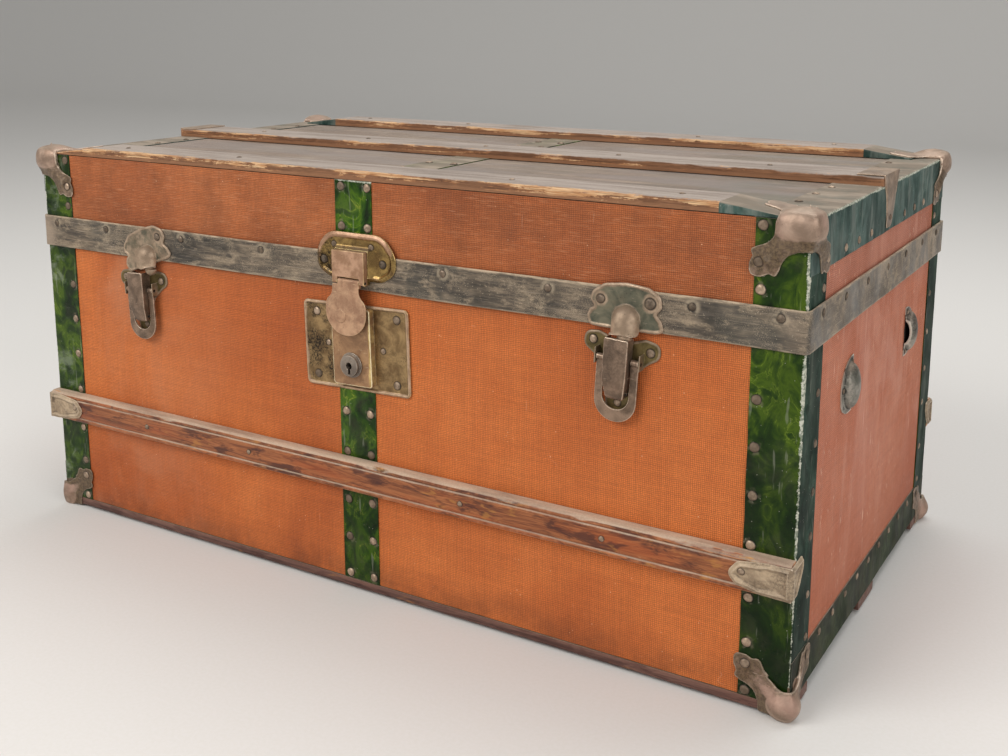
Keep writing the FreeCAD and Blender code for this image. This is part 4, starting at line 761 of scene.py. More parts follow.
def metal(name, base, light, dark, edge, tone=None, rust=None, met=0.55, rough=(0.36, 0.6), grain=0.0, grain_x=None,
          edge_at=(0.05, 0.16), edge_amt=0.75, dust="#a2917f", dust_amt=0.6, cav_at=(-0.16, -0.03), dirt_and_shade=False):
    """Dull pressed metal: pale on ridges, darker in hollows; the tone attribute brings in a second colour."""
    M = Mat(name)
    a = M.noise(64, 5, 0.62, 0.5)
    c = M.mix(M.map(a, 0.36, 0.66), base, light)
    if rust:
        c = M.mix(M.mul(M.map(M.noise(33, 4, 0.6, vec=M.vec(off=(1, 8, 3))), 0.5, 0.72), 0.5), c, rust)
    gr = M.map(M.noise(560, 3, 0.75), 0.42, 0.60)
    if grain:
        d = M.map(M.noise(24, 5, 0.65, 0.4), 0.40, 0.62)
        # less dark grain towards the right: real grain, thinned there as a painted highlight where the plates catch the
        # light
        if grain_x:
            d = M.mul(d, M.map(M.x, grain_x[0], grain_x[1], 1.25, 0.35))
        d = M.mul(d, grain)
        c = M.mix(M.mul(d, M.add(M.mul(gr, 0.75), 0.35)), c, dark)
    if tone:
        tn = M.attr("tone")
        tn = M.map(M.add(tn, M.mul(M.sub(M.noise(110, 5, 0.7), 0.5), 1.25)), 0.28, 0.78)
        tc = M.mix(M.map(M.noise(90, 4, 0.6), 0.38, 0.64), tone[0], tone[1])
        c = M.mix(tn, c, tc)
    we = M.attr("surface_convexity")
    nz = M.mul(M.sub(M.noise(260, 4, 0.7), 0.5), 0.10)
    cav = M.map(M.add(we, nz), cav_at[0], cav_at[1], 1.0, 0.0)
    ed = M.map(M.add(we, nz), edge_at[0], edge_at[1])
    c = M.mix(M.mul(cav, 0.85), c, dark)
    c = M.mix(M.mul(ed, edge_amt), c, edge)
    if dirt_and_shade:
        # painted shade, with some dirt, round and under the bumper knobs
        gm = M.attr("dirt_and_shade")
        gm = M.map(M.add(gm, M.mul(M.sub(M.noise(140, 5, 0.7, 0.3), 0.5), 1.3)), 0.34, 1.0)
        c = M.mix(M.mul(gm, 0.78), c, M.mix(M.map(M.noise(420, 3, 0.7), 0.4, 0.62), "#3e3222", "#6c5b42"))
        pink = M.map(M.noise(22, 4, 0.6, 0.4, vec=M.vec(off=(6, 2, 2))), 0.46, 0.62)
        c = M.mix(M.mul(M.mul(pink, M.inv(gm)), 0.4), c, "#c09a8c")
    # painted contact shadow round the nail heads
    nd = M.attr("nail")
    c = M.mix(M.map(nd, -0.2, 1.0, 0.8, 0.0), c, dark)
    spk = M.mul(M.map(M.vor(460), 0.12, 0.22, 1, 0), M.map(M.noise(120, 2), 0.5, 0.6))
    c = M.mix(M.mul(spk, 0.5), c, dark)
    sc = M.map(M.noise(1, 2, 0.5, vec=M.vec(90, 90, 1100, rot=(0.3, 0.6, 0))), 0.70, 0.76)
    c = M.mix(M.mul(sc, 0.4), c, edge)
    du = M.mul(M.map(M.up(), 0.35, 0.95), M.map(M.noise(90, 4), 0.35, 0.65, dust_amt * 0.3, dust_amt))
    c = M.mix(du, c, dust)
    n = M.bump(M.add(a, M.mul(gr, 0.22)), 0.00028, 0.5)
    r = M.map(M.noise(50, 4), 0.3, 0.7, rough[0], rough[1])
    r = M.mx(r, M.mul(M.mx(cav, du), 0.8))
    m = M.mul(M.inv(M.mx(cav, du)), met)
    if tone:
        m = M.mul(m, M.map(tn, 0, 1, 1.0, tone[2]))
        r = M.mx(r, M.mul(tn, tone[3]))
    return M.done(c, r, m, n, spec=0.4)


def nail_mat(name):
    M = Mat(name)
    rnd, dk = M.attr("tone"), M.attr("dark")
    a = M.noise(240, 4, 0.65)
    c = M.mix(M.map(a, 0.36, 0.66), "#84715f", "#b39d87")
    c = M.mix(M.mul(M.map(rnd, 0.25, 0.9), 0.72), c, "#54473a")
    c = M.mix(M.mul(M.map(rnd, 0.0, 0.3, 1.0, 0.0), 0.4), c, "#bfa68e")
    c = M.mix(M.mul(dk, 0.62), c, M.mix(M.map(M.noise(300, 3), 0.42, 0.6), "#2b2521", "#5f5548"))
    # painted contact shadow on the rim of each head, where it meets the surface
    low = M.attr("rim_shade")
    c = M.mix(M.mul(low, M.map(M.noise(420, 2), 0.3, 0.6, 0.55, 0.95)), c, "#2b231c")
    we = M.attr("surface_convexity")
    c = M.mix(M.mul(M.map(we, 0.12, 0.30), M.inv(low)), c, M.mix(dk, "#bda690", "#8c7f70"))
    n = M.bump(a, 0.0002, 0.5)
    r = M.map(M.add(a, rnd), 0.3, 1.5, 0.36, 0.62)
    return M.done(c, r, M.mul(M.inv(low), 0.45), n, spec=0.4)


def wood(name, base="#6b3d22", light="#9c6236", dark="#34190d", raw="#c79a5e", dust="#a5937d", dust2="#877663", dusty=0.8, axis=0,
         rough=(0.4, 0.7), red=0.0, upat=(0.25, 0.85), edge_amt=0.5, edge_col=None, blot=0.0):
    """Grain along the chosen axis; chips show raw wood, dust lies on top."""
    M = Mat(name)
    sc = [15, 15, 15]
    sc[axis] = 1.1
    fibre = [800, 800, 800]
    fibre[axis] = 16
    streak = [170, 170, 170]
    streak[axis] = 7
    g = M.noise(9, 5, 0.6, 1.2, vec=M.vec(*sc))
    f = M.noise(1, 3, 0.7, vec=M.vec(*fibre))
    st = M.noise(1, 4, 0.65, 0.3, vec=M.vec(*streak))
    ring = M.math("SINE", M.mul(M.add(g, M.mul(f, 0.06)), 40.0))
    t = M.add(M.add(M.mul(M.map(ring, -1, 1), 0.12), M.mul(g, 0.43)), M.mul(st, 0.45))
    c = M.ramp(t, [(0.20, dark), (0.42, base), (0.66, light), (0.9, base)])
    c = M.scale_col(c, M.map(f, 0.25, 0.75, 0.72, 1.22, False))
    if red:
        c = M.mix(M.mul(M.map(M.noise(1, 4, 0.6, vec=M.vec(9, 60, 60)), 0.46, 0.66), red), c, "#b0511f")
    ch = M.attr("chip")
    we = M.attr("surface_convexity")
    rag = M.add(M.mul(M.sub(M.noise(1, 3, 0.6, vec=M.vec(13, 300, 300)), 0.5), 2.2),
                M.add(M.mul(M.sub(M.noise(1, 4, 0.7, 0.2, vec=M.vec(90, 900, 900)), 0.5), 1.5),
                      M.mul(M.sub(M.noise(500, 3, 0.7), 0.5), 0.5)))
    chsum = M.add(ch, rag)
    on = M.map(ch, 0.02, 0.12)
    tan = M.mul(M.map(chsum, 0.34, 0.46), on)
    chip = M.mul(M.map(chsum, 0.52, 0.64), on)
    c = M.mix(M.mul(tan, 0.85), c, M.mix(M.map(st, 0.42, 0.58), "#9f6a42", "#764c31"))
    c = M.mix(M.mul(M.map(M.math("ABSOLUTE", M.sub(chsum, 0.47)), 0.0, 0.03, 1.0, 0.0), M.mul(on, 0.45)), c, dark)
    c = M.mix(chip, c, M.mix(M.map(M.noise(1, 3, 0.6, vec=M.vec(40, 700, 700)), 0.36, 0.62), raw, "#b5845a"))
    hair = M.mul(M.map(M.noise(1, 3, 0.65, 0.15, vec=M.vec(22, 1300, 1300)), 0.54, 0.62), M.mul(on, 0.75))
    c = M.mix(hair, c, "#5e3c27")
    # painted highlight along the convex edges, in edge_col
    edge = M.mul(M.map(M.add(we, M.mul(M.sub(M.noise(160, 4, 0.7), 0.5), 0.14)), 0.05, 0.13), edge_amt)
    c = M.mix(edge, c, edge_col or light)
    if blot:
        c = M.mix(M.mul(M.map(M.noise(1, 4, 0.65, 0.4, vec=M.vec(26, 90, 90, off=(4, 2, 7))), 0.50, 0.62), blot), c, "#3a1c1a")
        yel = M.mul(M.map(M.noise(1, 3, 0.6, 0.4, vec=M.vec(40, 120, 120, off=(9, 2, 1))), 0.60, 0.70), blot)
        c = M.mix(M.mul(yel, 0.7), c, "#b27a3c")
    d = M.map(M.add(M.up(), M.mul(M.sub(M.noise(60, 5, 0.65), 0.5), 0.7)), upat[0], upat[1])
    dc = M.mix(M.map(M.noise(1, 4, 0.65, vec=M.vec(10, 90, 90)), 0.40, 0.66), dust, dust2)
    dc = M.scale_col(dc, M.map(M.noise(620, 3, 0.75), 0.3, 0.7, 0.86, 1.14, False))
    d = M.mul(d, M.inv(M.mul(chip, 0.9)))
    c = M.mix(M.mul(d, dusty), c, dc)
    # painted contact shadow round the nail heads
    nd = M.attr("nail")
    c = M.mix(M.map(nd, 0.0, 1.2, 0.8, 0.0), c, "#1b100a")
    n = M.bump(M.add(M.mul(f, 0.6), M.mul(t, 0.5)), 0.0004, 0.6)
    r = M.mx(M.map(g, 0.3, 0.7, rough[0], rough[1]), M.mul(M.mx(d, chip), 0.85))
    return M.done(c, r, 0, n, spec=0.35)


MAT = {
    "front": canvas("canvas_front", "front"), "lidfront": canvas("canvas_lid_front", "lidfront"),
    "end": canvas("canvas_end", "end"), "lidend": canvas("canvas_lid_end", "lidend"), "top": canvas("canvas_top", "top"),
    "green": tin("tin_green", dark="#091c04", mid="#1d3506", bright="#42590f", glint="#7f9334", spec=0.16, rough=(0.22, 0.45)),
    # the same green, darker and cooler as painted shade, for the flanges that face the ends
    "green_painted_shade": tin("tin_green_painted_shade", dark="#0d1d16", mid="#1b3026", bright="#30473b", glint="#5a7064", dust="#626a5f", veil=0.3,
                      rough=(0.5, 0.7), lit=0.35, streaky=0.35, spec=0.06),
    "green_strip": tin("tin_green_strip", dark="#0a1d03", mid="#1f3f08", bright="#46680e", glint="#9aa33c", swirl=1.2, lit=0.6,
                       fold_w=0.8, spec=0.16),
    "olive": tin("tin_olive", dark="#10170c", mid="#1d2817", bright="#303d25", glint="#56603f", worn="#9a9d89", veil=0.22,
                 rough=(0.45, 0.65), lit=0.3, fold_w=0.92, streaky=0.2, spec=0.1),
    "teal": tin("tin_teal", dark="#18302b", mid="#2a433d", bright="#465c56", glint="#80908a", dust="#80857e", worn="#b9bcae",
                veil=0.5, rough=(0.45, 0.68), lit=0.3, fold_w=0.9, streaky=0.6, spec=0.12),
    "band": band_mat("band_black"),
    "steel": metal("steel_corner", "#7d6b5c", "#a8917d", "#43372d", "#c6af9a", rust="#75553f"),
    "steel_bumper": metal("steel_bumper", "#897464", "#b29987", "#40342a", "#dcc7b3", rust="#75553f", dirt_and_shade=True, edge_amt=0.95, edge_at=(0.03, 0.10)),
    "steel_clamp": metal("steel_clamp", "#948069", "#c0aa8e", "#43372c", "#d8c6b0", met=0.3, grain=0.55, rough=(0.42, 0.65), dust="#b0a08a",
                         cav_at=(-0.12, 0.0)),
    "steel_latch": metal("steel_latch", "#6a584a", "#957d6a", "#241c16", "#dcc6b0", met=0.6, rust="#5d4a36", grain=0.35, rough=(0.26, 0.5),
                         edge_at=(0.03, 0.12)),
    "steel_base": metal("steel_latch_base", "#534728", "#75653f", "#1d1912", "#a08d79", tone=("#75664f", "#94806a", 0.9, 0.3), met=0.5),
    "steel_catch": metal("steel_catch", "#4f5144", "#77725f", "#26231d", "#c4ae9a", tone=("#8f7b67", "#b39c85", 1.1, 0.25), met=0.45,
                         rust="#76644f", grain=0.4),
    "steel_cap": metal("steel_cap", "#5f5f56", "#99948a", "#171512", "#d8cdbf", rust="#6b5242", met=0.5, grain=0.8, edge_at=(0.02, 0.10)),
    "dark": metal("steel_dark", "#3f3933", "#5b5248", "#1b1815", "#8d8072", met=0.7),
    "brass": metal("brass_plate", "#785f40", "#a98c62", "#28211a", "#e2c68e", tone=("#947860", "#b89b82", 0.4, 0.45), met=0.7,
                   rough=(0.28, 0.5), grain=1.0, grain_x=(-0.045, 0.02), dust_amt=0.4),
    "brass_bright": metal("brass_case", "#866448", "#a9835f", "#3a2c20", "#f2e3bd", tone=("#b3935a", "#ecd392", 1.6, -0.1), met=0.35, rough=(0.34, 0.6), grain=0.2,
                          edge_at=(0.03, 0.10), edge_amt=1.0, dust_amt=0.4),
    "ring": metal("keyhole_steel", "#6f645b", "#93877b", "#2a2420", "#c2b5a6", met=0.6),
    "brass_hasp": metal("brass_hasp", "#6f5836", "#a48752", "#231c13", "#ecd49a", tone=("#987459", "#bd967a", 0.45, 0.35), met=0.85,
                        rough=(0.18, 0.38), grain=0.9, grain_x=(-0.03, 0.012), dust_amt=0.4),
    "hasp": metal("hasp_steel", "#9c765c", "#c39c7c", "#3f3024", "#e6cba2", met=0.3, rough=(0.36, 0.6), grain=0.2, dust_amt=0.3),
    "nail": nail_mat("nail_heads"),
    "slat": wood("slat_top", base="#6d4930", light="#94694a", dark="#372219", raw="#dab68c", dust="#a59a91", dust2="#8b8077",
                 dusty=0.95, upat=(0.2, 0.7)),
    "rub": wood("slat_rub", base="#784327", light="#ad6c42", dark="#32170f", red=0.35, dust="#c2ac96", dust2="#a08a78", dusty=0.95,
                rough=(0.28, 0.55), upat=(0.3, 0.75), edge_amt=0.75, edge_col="#cf9670", blot=0.75),
    "foot": wood("slat_foot", base="#4f342e", light="#7c5a4e", dark="#281815", raw="#8b6a58", dusty=0.5, blot=0.4),
    "board": wood("board_inside", base="#b8966a", light="#d3b88c", dark="#80603a", raw="#c8a97c", dust="#b8a68c", dust2="#a9977c",
                  dusty=0.25, rough=(0.55, 0.8)),
}

# ------------------------------------------------------------------ carcass and canvas
for n in nodes:
    if n.endswith("_board"):
        nodes[n].data.materials.clear()
        nodes[n].data.materials.append(MAT["board"])


def face_materials(node, pick, mats):
    """Paints a CAD node's faces by their direction through its material slots."""
    me = nodes[node].data
    me.materials.clear()
    for m in mats:
        me.materials.append(m)
    me.polygons.foreach_set("material_index", [pick(p) for p in me.polygons])
    me.update()


def canvas_pick(p):
    n = p.normal
    if abs(n.z) > 0.7:
        return 2
    return 1 if abs(n.x) > 0.7 else 0


face_materials("body_canvas", canvas_pick, [MAT["front"], MAT["end"], MAT["front"]])
face_materials("lid_canvas", canvas_pick, [MAT["lidfront"], MAT["lidend"], MAT["top"]])

# ------------------------------------------------------------------ bindings
DU = 1.6


def shade_end_flanges(me):
    """Second slot, a darker and cooler painted-shade copy of the green, on the flanges that face the ends."""
    me.polygons.foreach_set("material_index", [1 if abs(p.normal.x) > 0.7 else 0 for p in me.polygons])


def corner(sx, sy, z0, z1, keep, seed, w=41.0):
    path = round_path([(sx * (XO - w), sy * YO, 0), (sx * XO, sy * YO, 0), (sx * XO, sy * (YO - w), 0)], 2.6, DU)
    return sweep_sheet(path, (0, 0, 1), z0, z1, 2.2, TIN, (sx, sy, 0), keep, amp=0.32, edge=0.3, seed=seed)


corners = [(-1, -1), (1, -1), (-1, 1), (1, 1)]
me = joined("body_corner_tin", [corner(sx, sy, 0, SPLIT, lambda p, sy=sy: not (abs(p[1]) < YO - 2.8 and p[2] < 36), 11 + 7 * i)
                                for i, (sx, sy) in enumerate(corners)])
masks(me, smooth=2)
fold_distance(me, "corner")
sharpen(me, 55)
new_object("corner_tin_body", me, "trunk_body", [MAT["green"], MAT["green_painted_shade"]], "green_tin", "body_corner_bindings")
shade_end_flanges(me)
me = joined("lid_corner_tin", [corner(sx, sy, SPLIT + 0.4, H, lambda p, sy=sy: not (abs(p[1]) < YO - 2.8 and p[2] > H - 40), 51 + 7 * i)
                               for i, (sx, sy) in enumerate(corners)])
masks(me, smooth=2)
fold_distance(me, "corner")
sharpen(me, 55)
new_object("corner_tin_lid", me, "trunk_lid", [MAT["green"], MAT["green_painted_shade"]], "green_tin", "lid_corner_bindings")
shade_end_flanges(me)

for side, sx in (("left", -1), ("right", 1)):
    path = round_path([(sx * XO, 0, 36), (sx * XO, 0, -TIN), (sx * (W2 - 30), 0, -TIN)], 1.5, DU)
    me = joined("end_tin_low_" + side, [sweep_sheet(path, (0, 1, 0), -D2, D2, 2.4, TIN, (sx, 0, -0.6), amp=0.3, seed=81 + sx)])
    masks(me, smooth=2)
    fold_distance(me, "end")
    sharpen(me, 55)
    new_object("end_tin_low_" + side, me, "trunk_body", MAT["olive"], "green_tin", "body_end_binding_" + side)
    path = round_path([(sx * XO, 0, H - 40), (sx * XO, 0, H + TIN), (sx * (W2 - 42), 0, H + TIN)], 2.2, DU)
    me = joined("end_tin_high_" + side, [sweep_sheet(path, (0, 1, 0), -D2, D2, 2.4, TIN, (sx, 0, 0.6), amp=0.35, seed=91 + sx)])
    masks(me, smooth=2)
    fold_distance(me, "end")
    sharpen(me, 55)
    new_object("end_tin_high_" + side, me, "trunk_lid", MAT["teal"], "blue_tin", "lid_end_binding_" + side)

# in front it ends under the lock plate
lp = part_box("lock_plate")
strip_top = (lp[0][2] + lp[1][2]) * 500 - ZS - 12
path = round_path([(0, -YO, strip_top), (0, -YO, -TIN), (0, YO, -TIN), (0, YO, SPLIT)], 1.5, 2.2)
me = joined("strip_body", [sweep_sheet(path, (1, 0, 0), -19, 21, 1.6, TIN, (0, 0, -1), amp=0.3, seed=101)])
masks(me, smooth=2)
fold_distance(me, "strip")
sharpen(me, 55)
new_object("centre_tin_body", me, "trunk_body", MAT["green_strip"], "green_tin", "body_centre_strip")
path = round_path([(0, -YO, SPLIT + 0.4), (0, -YO, H + TIN), (0, YO, H + TIN), (0, YO, SPLIT + 0.4)], 2.0, 2.2)
me = joined("strip_lid", [sweep_sheet(path, (1, 0, 0), -19, 21, 1.6, TIN, (0, 0, 1), amp=0.3, seed=111)])
masks(me, smooth=2)
fold_distance(me, "strip")
sharpen(me, 55)
new_object("centre_tin_lid", me, "trunk_lid", MAT["green_strip"], "green_tin", "lid_centre_strip")

# valance band: front and ends in one rounded run, the rear strip apart
BX, BY = W2 + 3.0, D2 + 3.0
path = round_path([(-BX, D2 + 2.6, 0), (-BX, -BY, 0), (BX, -BY, 0), (BX, D2 + 2.6, 0)], 4.4, 3.0)
v1, f1 = sweep_sheet(path, (0, 0, 1), 278, 310, 1.6, 2.0, (0, -1, 0), amp=0.0, edge=0.0, seed=121)
path = round_path([(-BX + 2, D2 + 2.6, 0), (BX - 2, D2 + 2.6, 0)], 1, 4.0)
v2, f2 = sweep_sheet(path, (0, 0, 1), 295, 310, 1.6, 1.6, (0, 1, 0), amp=0.0, edge=0.0, seed=131)


def wavy(v, seed):
    """The band wanders: bowed faces, soft edges, a few dents; never inwards."""
    q = v / 1000
    along = fbm(q * np.array([1, 1, 0.05]), 14, 3, seed)
    rise = (fbm(q * np.array([1, 1, 0.0]), 9, 2, seed + 3) - 0.5) * 1.2
    out = (along - 0.5) * 0.9 + (fbm(q, 70, 2, seed + 7) - 0.5) * 0.35
    z = v[:, 2]
    up = np.clip((z - 294) / 16, -1, 1)
    v = v.copy()
    v[:, 2] += rise * np.abs(up) * 0.9
    amount = np.clip(out, -0.15, 0.9)
    front = np.abs(v[:, 1] + BY) < 3.2
    left, right = v[:, 0] < -BX + 3.2, v[:, 0] > BX - 3.2
    v[front, 1] -= amount[front]
    v[left, 0] -= amount[left]
    v[right, 0] += amount[right]
    return v


me = joined("band_run", [(wavy(v1, 5), f1), (v2, f2)])
masks(me, smooth=1)
sharpen(me, 50)
o = new_object("valance_band", me, "trunk_lid", MAT["band"], "band", "lid_valance_bands")
bv = o.modifiers.new("edges", "BEVEL")
bv.width, bv.segments, bv.limit_method, bv.angle_limit = 0.0006, 2, "ANGLE", math.radians(55)


# ------------------------------------------------------------------ slats
def profile_points(y0, y1, T, c0, c1, n=5):
    """Closed section of a flat slat: y0 front, y1 back, thickness T, eased top corners."""
    p = [(y0, 0.0), (y0, T * 0.35), (y0, max(T - c0 * 1.6, T * 0.4))]
    for k in range(n + 1):
        a = math.pi / 2 * k / n
        p.append((y0 + c0 * (1 - math.cos(a)), T - c0 + c0 * math.sin(a)))
    for f in (0.12, 0.25, 0.4, 0.55, 0.7, 0.85):
        p.append((y0 + c0 + (y1 - c1 - y0 - c0) * f, T))
    for k in range(n + 1):
        a = math.pi / 2 * (1 - k / n)
        p.append((y1 - c1 * (1 - math.cos(a)), T - c1 + c1 * math.sin(a)))
    p += [(y1, T * 0.35), (y1, 0.0)]
    return p


def slat(name, x0, x1, y0, y1, z0, thick, seed, chips=(1.0, 1.0), bow=0.25, ease=1.3):
    """Slat along X whose edges are rounded unevenly and chipped here and there."""
    xs = np.arange(x0, x1 + 0.01, 2.6)
    xs = xs + (x1 - xs[-1]) * (xs - x0) / (x1 - x0)
    rows, chipv = [], []
    for x in xs:
        q = np.array([[x / 1000, seed, 0.0]])
        T = thick(x)
        vals = []
        for k, amount in enumerate(chips):
            n = fbm(q, 34, 4, seed + 13 * k)[0]
            j = vnoise(q, 330, seed + 5 + k)[0]
            c = ease + 1.5 * amount * max(0.0, n - 0.50) / 0.2 + 0.7 * (j - 0.5)
            vals.append((min(max(c, 0.5), 0.36 * T), 0.40 * min(1.35, amount) + 0.20 * amount * min(1.0, max(0.0, (n - 0.40) / 0.25))))
        p = profile_points(y0, y1, T, vals[0][0], vals[1][0])
        zz = bow * (fbm(q, 7, 2, seed + 40)[0] - 0.5)
        rows.append([(x, a, z0 + b + (zz if b > 0.5 * T else 0)) for a, b in p])
        m = len(p)
        c = np.zeros(m)
        c[0:9] = vals[0][1] * np.array([0.1, 0.45, 0.85, 1, 1.05, 1.05, 1, 0.8, 0.4])
        c[m - 8:m - 1] = vals[1][1] * np.array([0.3, 0.7, 1, 1, 1, 1, 0.75])
        chipv.append(c)
    m = len(rows[0])
    verts = np.array(rows).reshape(-1, 3)
    faces = []
    for i in range(len(xs) - 1):
        for j in range(m):
            k = (j + 1) % m
            faces.append((i * m + j, i * m + k, (i + 1) * m + k, (i + 1) * m + j))
    faces.append(tuple(range(m)))
    faces.append(tuple((len(xs) - 1) * m + j for j in reversed(range(m))))
    me = make_mesh(name, to_row(verts), faces)
    fix_normals(me)
    set_attr(me, "chip", np.concatenate(chipv))
    masks(me, smooth=1)
    sharpen(me, 50)
    return me


def taper(x):
    a = abs(x)
    if a <= 335:
        return 8.5
    return 8.5 - (8.5 - 1.6) * min(1.0, (a - 335) / 49.0)


ZT = H + TIN


def painted_ends(me, x_from=338):
    """Face slots: 0 wood, 1 the paint on the planed ends."""
    for p in me.polygons:
        x = p.center.x * 1000
        p.material_index = 1 if x > x_from or (x < -x_from and p.center.y > 0) else 0


for nm, y0, y1, rep, seed in (("front", -YO, -(D2 - 45), "top_slat_front", 3), ("rear", D2 - 45, YO, "top_slat_rear", 23)):
    me = slat("slat_top_" + nm, -384, 384, y0, y1, ZT, taper, seed, chips=(1.75, 0.7) if nm == "front" else (1.05, 1.3))
    set_attr(me, "fold", np.full(len(me.vertices), 12.0))
    o = new_object("slat_top_" + nm, me, "trunk_lid", [MAT["slat"], MAT["teal"]], "slat", rep)
    painted_ends(me)
me = slat("slat_top_middle", -XO, XO, -25, 25, ZT, lambda x: 8.5, 43, chips=(0.95, 1.0))
ch = np.zeros(len(me.vertices))
me.attributes["chip"].data.foreach_get("value", ch)
set_attr(me, "chip", ch * np.interp(coords(me)[:, 0], [0.02, 0.2, 0.32], [1.0, 0.75, 0.3]))
new_object("slat_top_middle", me, "trunk_lid", MAT["slat"], "slat", "top_slat_middle")
for nm, y0, y1, rep, seed in (("front", -YO, -(D2 - 45), "bottom_slat_front", 63), ("middle", -25, 25, "bottom_slat_middle", 73),
                              ("rear", D2 - 45, YO, "bottom_slat_rear", 83)):
    me = slat("slat_foot_" + nm, -XO, XO, y0, y1, 0, lambda x: 8.0, seed, chips=(0.1, 0.1), bow=0.0)
    co = coords(me)
    co[:, 2] = (ZS - TIN) / 1000 - (co[:, 2] - ZS / 1000)
    put(me, co)
    fix_normals(me)
    masks(me, smooth=1)
    new_object("slat_foot_" + nm, me, "trunk_body", MAT["foot"], "foot_slat", rep)


def rubbing(name, sy, rep, seed):
    """Beaded rubbing slat; its section follows the CAD one with eased, chipped edges."""
    R, T, HH = 105.0, 10.8, 15.0
    xs = np.arange(-XO, XO + 0.01, 2.4)
    rows, chipv = [], []
    for x in xs:
        q = np.array([[x / 1000, seed, 0.0]])
        ch = max(0.0, fbm(q, 30, 4, seed)[0] - 0.58) / 0.2
        ch2 = max(0.0, fbm(q, 36, 4, seed + 7)[0] - 0.60) / 0.2
        e1, e2 = 1.0 + 1.6 * ch, 1.0 + 2.0 * ch2
        g = 1.25
        sec = [(0, -HH), (T * 0.55, -HH), (T * 0.78, -HH + 0.4), (T - e2 * 0.55, -HH + 1.6), (T - 0.2, -HH + 1.6 + e2 * 0.7),
               (T, -HH + 3.6), (T - 0.25, -HH + 4.7), (T - g, -HH + 5.5), (T - 0.25, -HH + 6.3), (T, -HH + 7.4),
               (T + 0.0, -4.0), (T + 0.0, 0.0), (T + 0.0, 4.0),
               (T, HH - 7.4), (T - 0.25, HH - 6.3), (T - g, HH - 5.5), (T - 0.25, HH - 4.7), (T, HH - 3.6),
               (T - 0.2, HH - 1.6 - e1 * 0.7), (T - e1 * 0.55, HH - 1.6), (T * 0.78, HH - 0.4), (T * 0.55, HH), (0, HH)]
        sag = 0.35 * (fbm(q, 6, 2, seed + 2)[0] - 0.5)
        rows.append([(x, sy * (YO + a - (0.02 if a > 1 else 0)), R + b + (sag if abs(b) < HH else 0)) for a, b in sec])
        c = np.zeros(len(sec))
        c[2:6] = min(0.5, ch2 * 0.5)
        c[17:21] = min(0.4, ch * 0.3)
        chipv.append(c)
    m = len(rows[0])
    verts = np.array(rows).reshape(-1, 3)
    faces = [(i * m + j, i * m + (j + 1) % m, (i + 1) * m + (j + 1) % m, (i + 1) * m + j) for i in range(len(xs) - 1) for j in range(m)]
    faces.append(tuple(range(m)))
    faces.append(tuple((len(xs) - 1) * m + j for j in reversed(range(m))))
    me = make_mesh(name, to_row(verts), faces)
    fix_normals(me)
    set_attr(me, "chip", np.concatenate(chipv))
    masks(me, smooth=1)
    sharpen(me, 60)
    new_object(name, me, "trunk_body", MAT["rub"], "slat", rep)


rubbing("slat_rub_front", -1, "front_slat", 7)
rubbing("slat_rub_rear", 1, "rear_slat", 17)


# ------------------------------------------------------------------ pressed hardware
def pressed(name, node, body, mat, slot, voxel=0.0005, smooth=5, dents=0.00012, adapt=0.0, extra=None, ms=4):
    me = remeshed(node, voxel, smooth, 0.5, adapt)
    set_attr(me, "tone", np.zeros(len(me.vertices)))
    if extra:
        extra(me)
    if dents:
        dent(me, dents, 90, seed=len(name))
    co = coords(me)
    co[:, 1] = np.clip(co[:, 1], -0.2345, 0.2345)
    put(me, co)
    masks(me, smooth=ms)
    return new_object(name, me, body, MAT[mat], slot, node)


def smin(a, b, k):
    h = np.maximum(k - np.abs(a - b), 0) / k
    return np.minimum(a, b) - h * h * k / 4


def smoothstep(x, a, b):
    t = np.clip((x - a) / (b - a), 0, 1)
    return t * t * (3 - 2 * t)


def relax(me, weight, rounds):
    """Laplacian smoothing of the vertices by weight."""
    co = coords(me)
    ed = np.zeros(len(me.edges) * 2, np.int64)
    me.edges.foreach_get("vertices", ed)
    ed = ed.reshape(-1, 2)
    n = len(co)
    cnt = np.maximum(np.bincount(ed.ravel(), minlength=n), 1).astype(float)
    for _ in range(rounds):
        av = np.stack([(np.bincount(ed[:, 0], co[ed[:, 1], c], n) + np.bincount(ed[:, 1], co[ed[:, 0], c], n)) / cnt
                       for c in range(3)], 1)
        co = co + (av - co) * (0.6 * weight)[:, None]
    put(me, co)


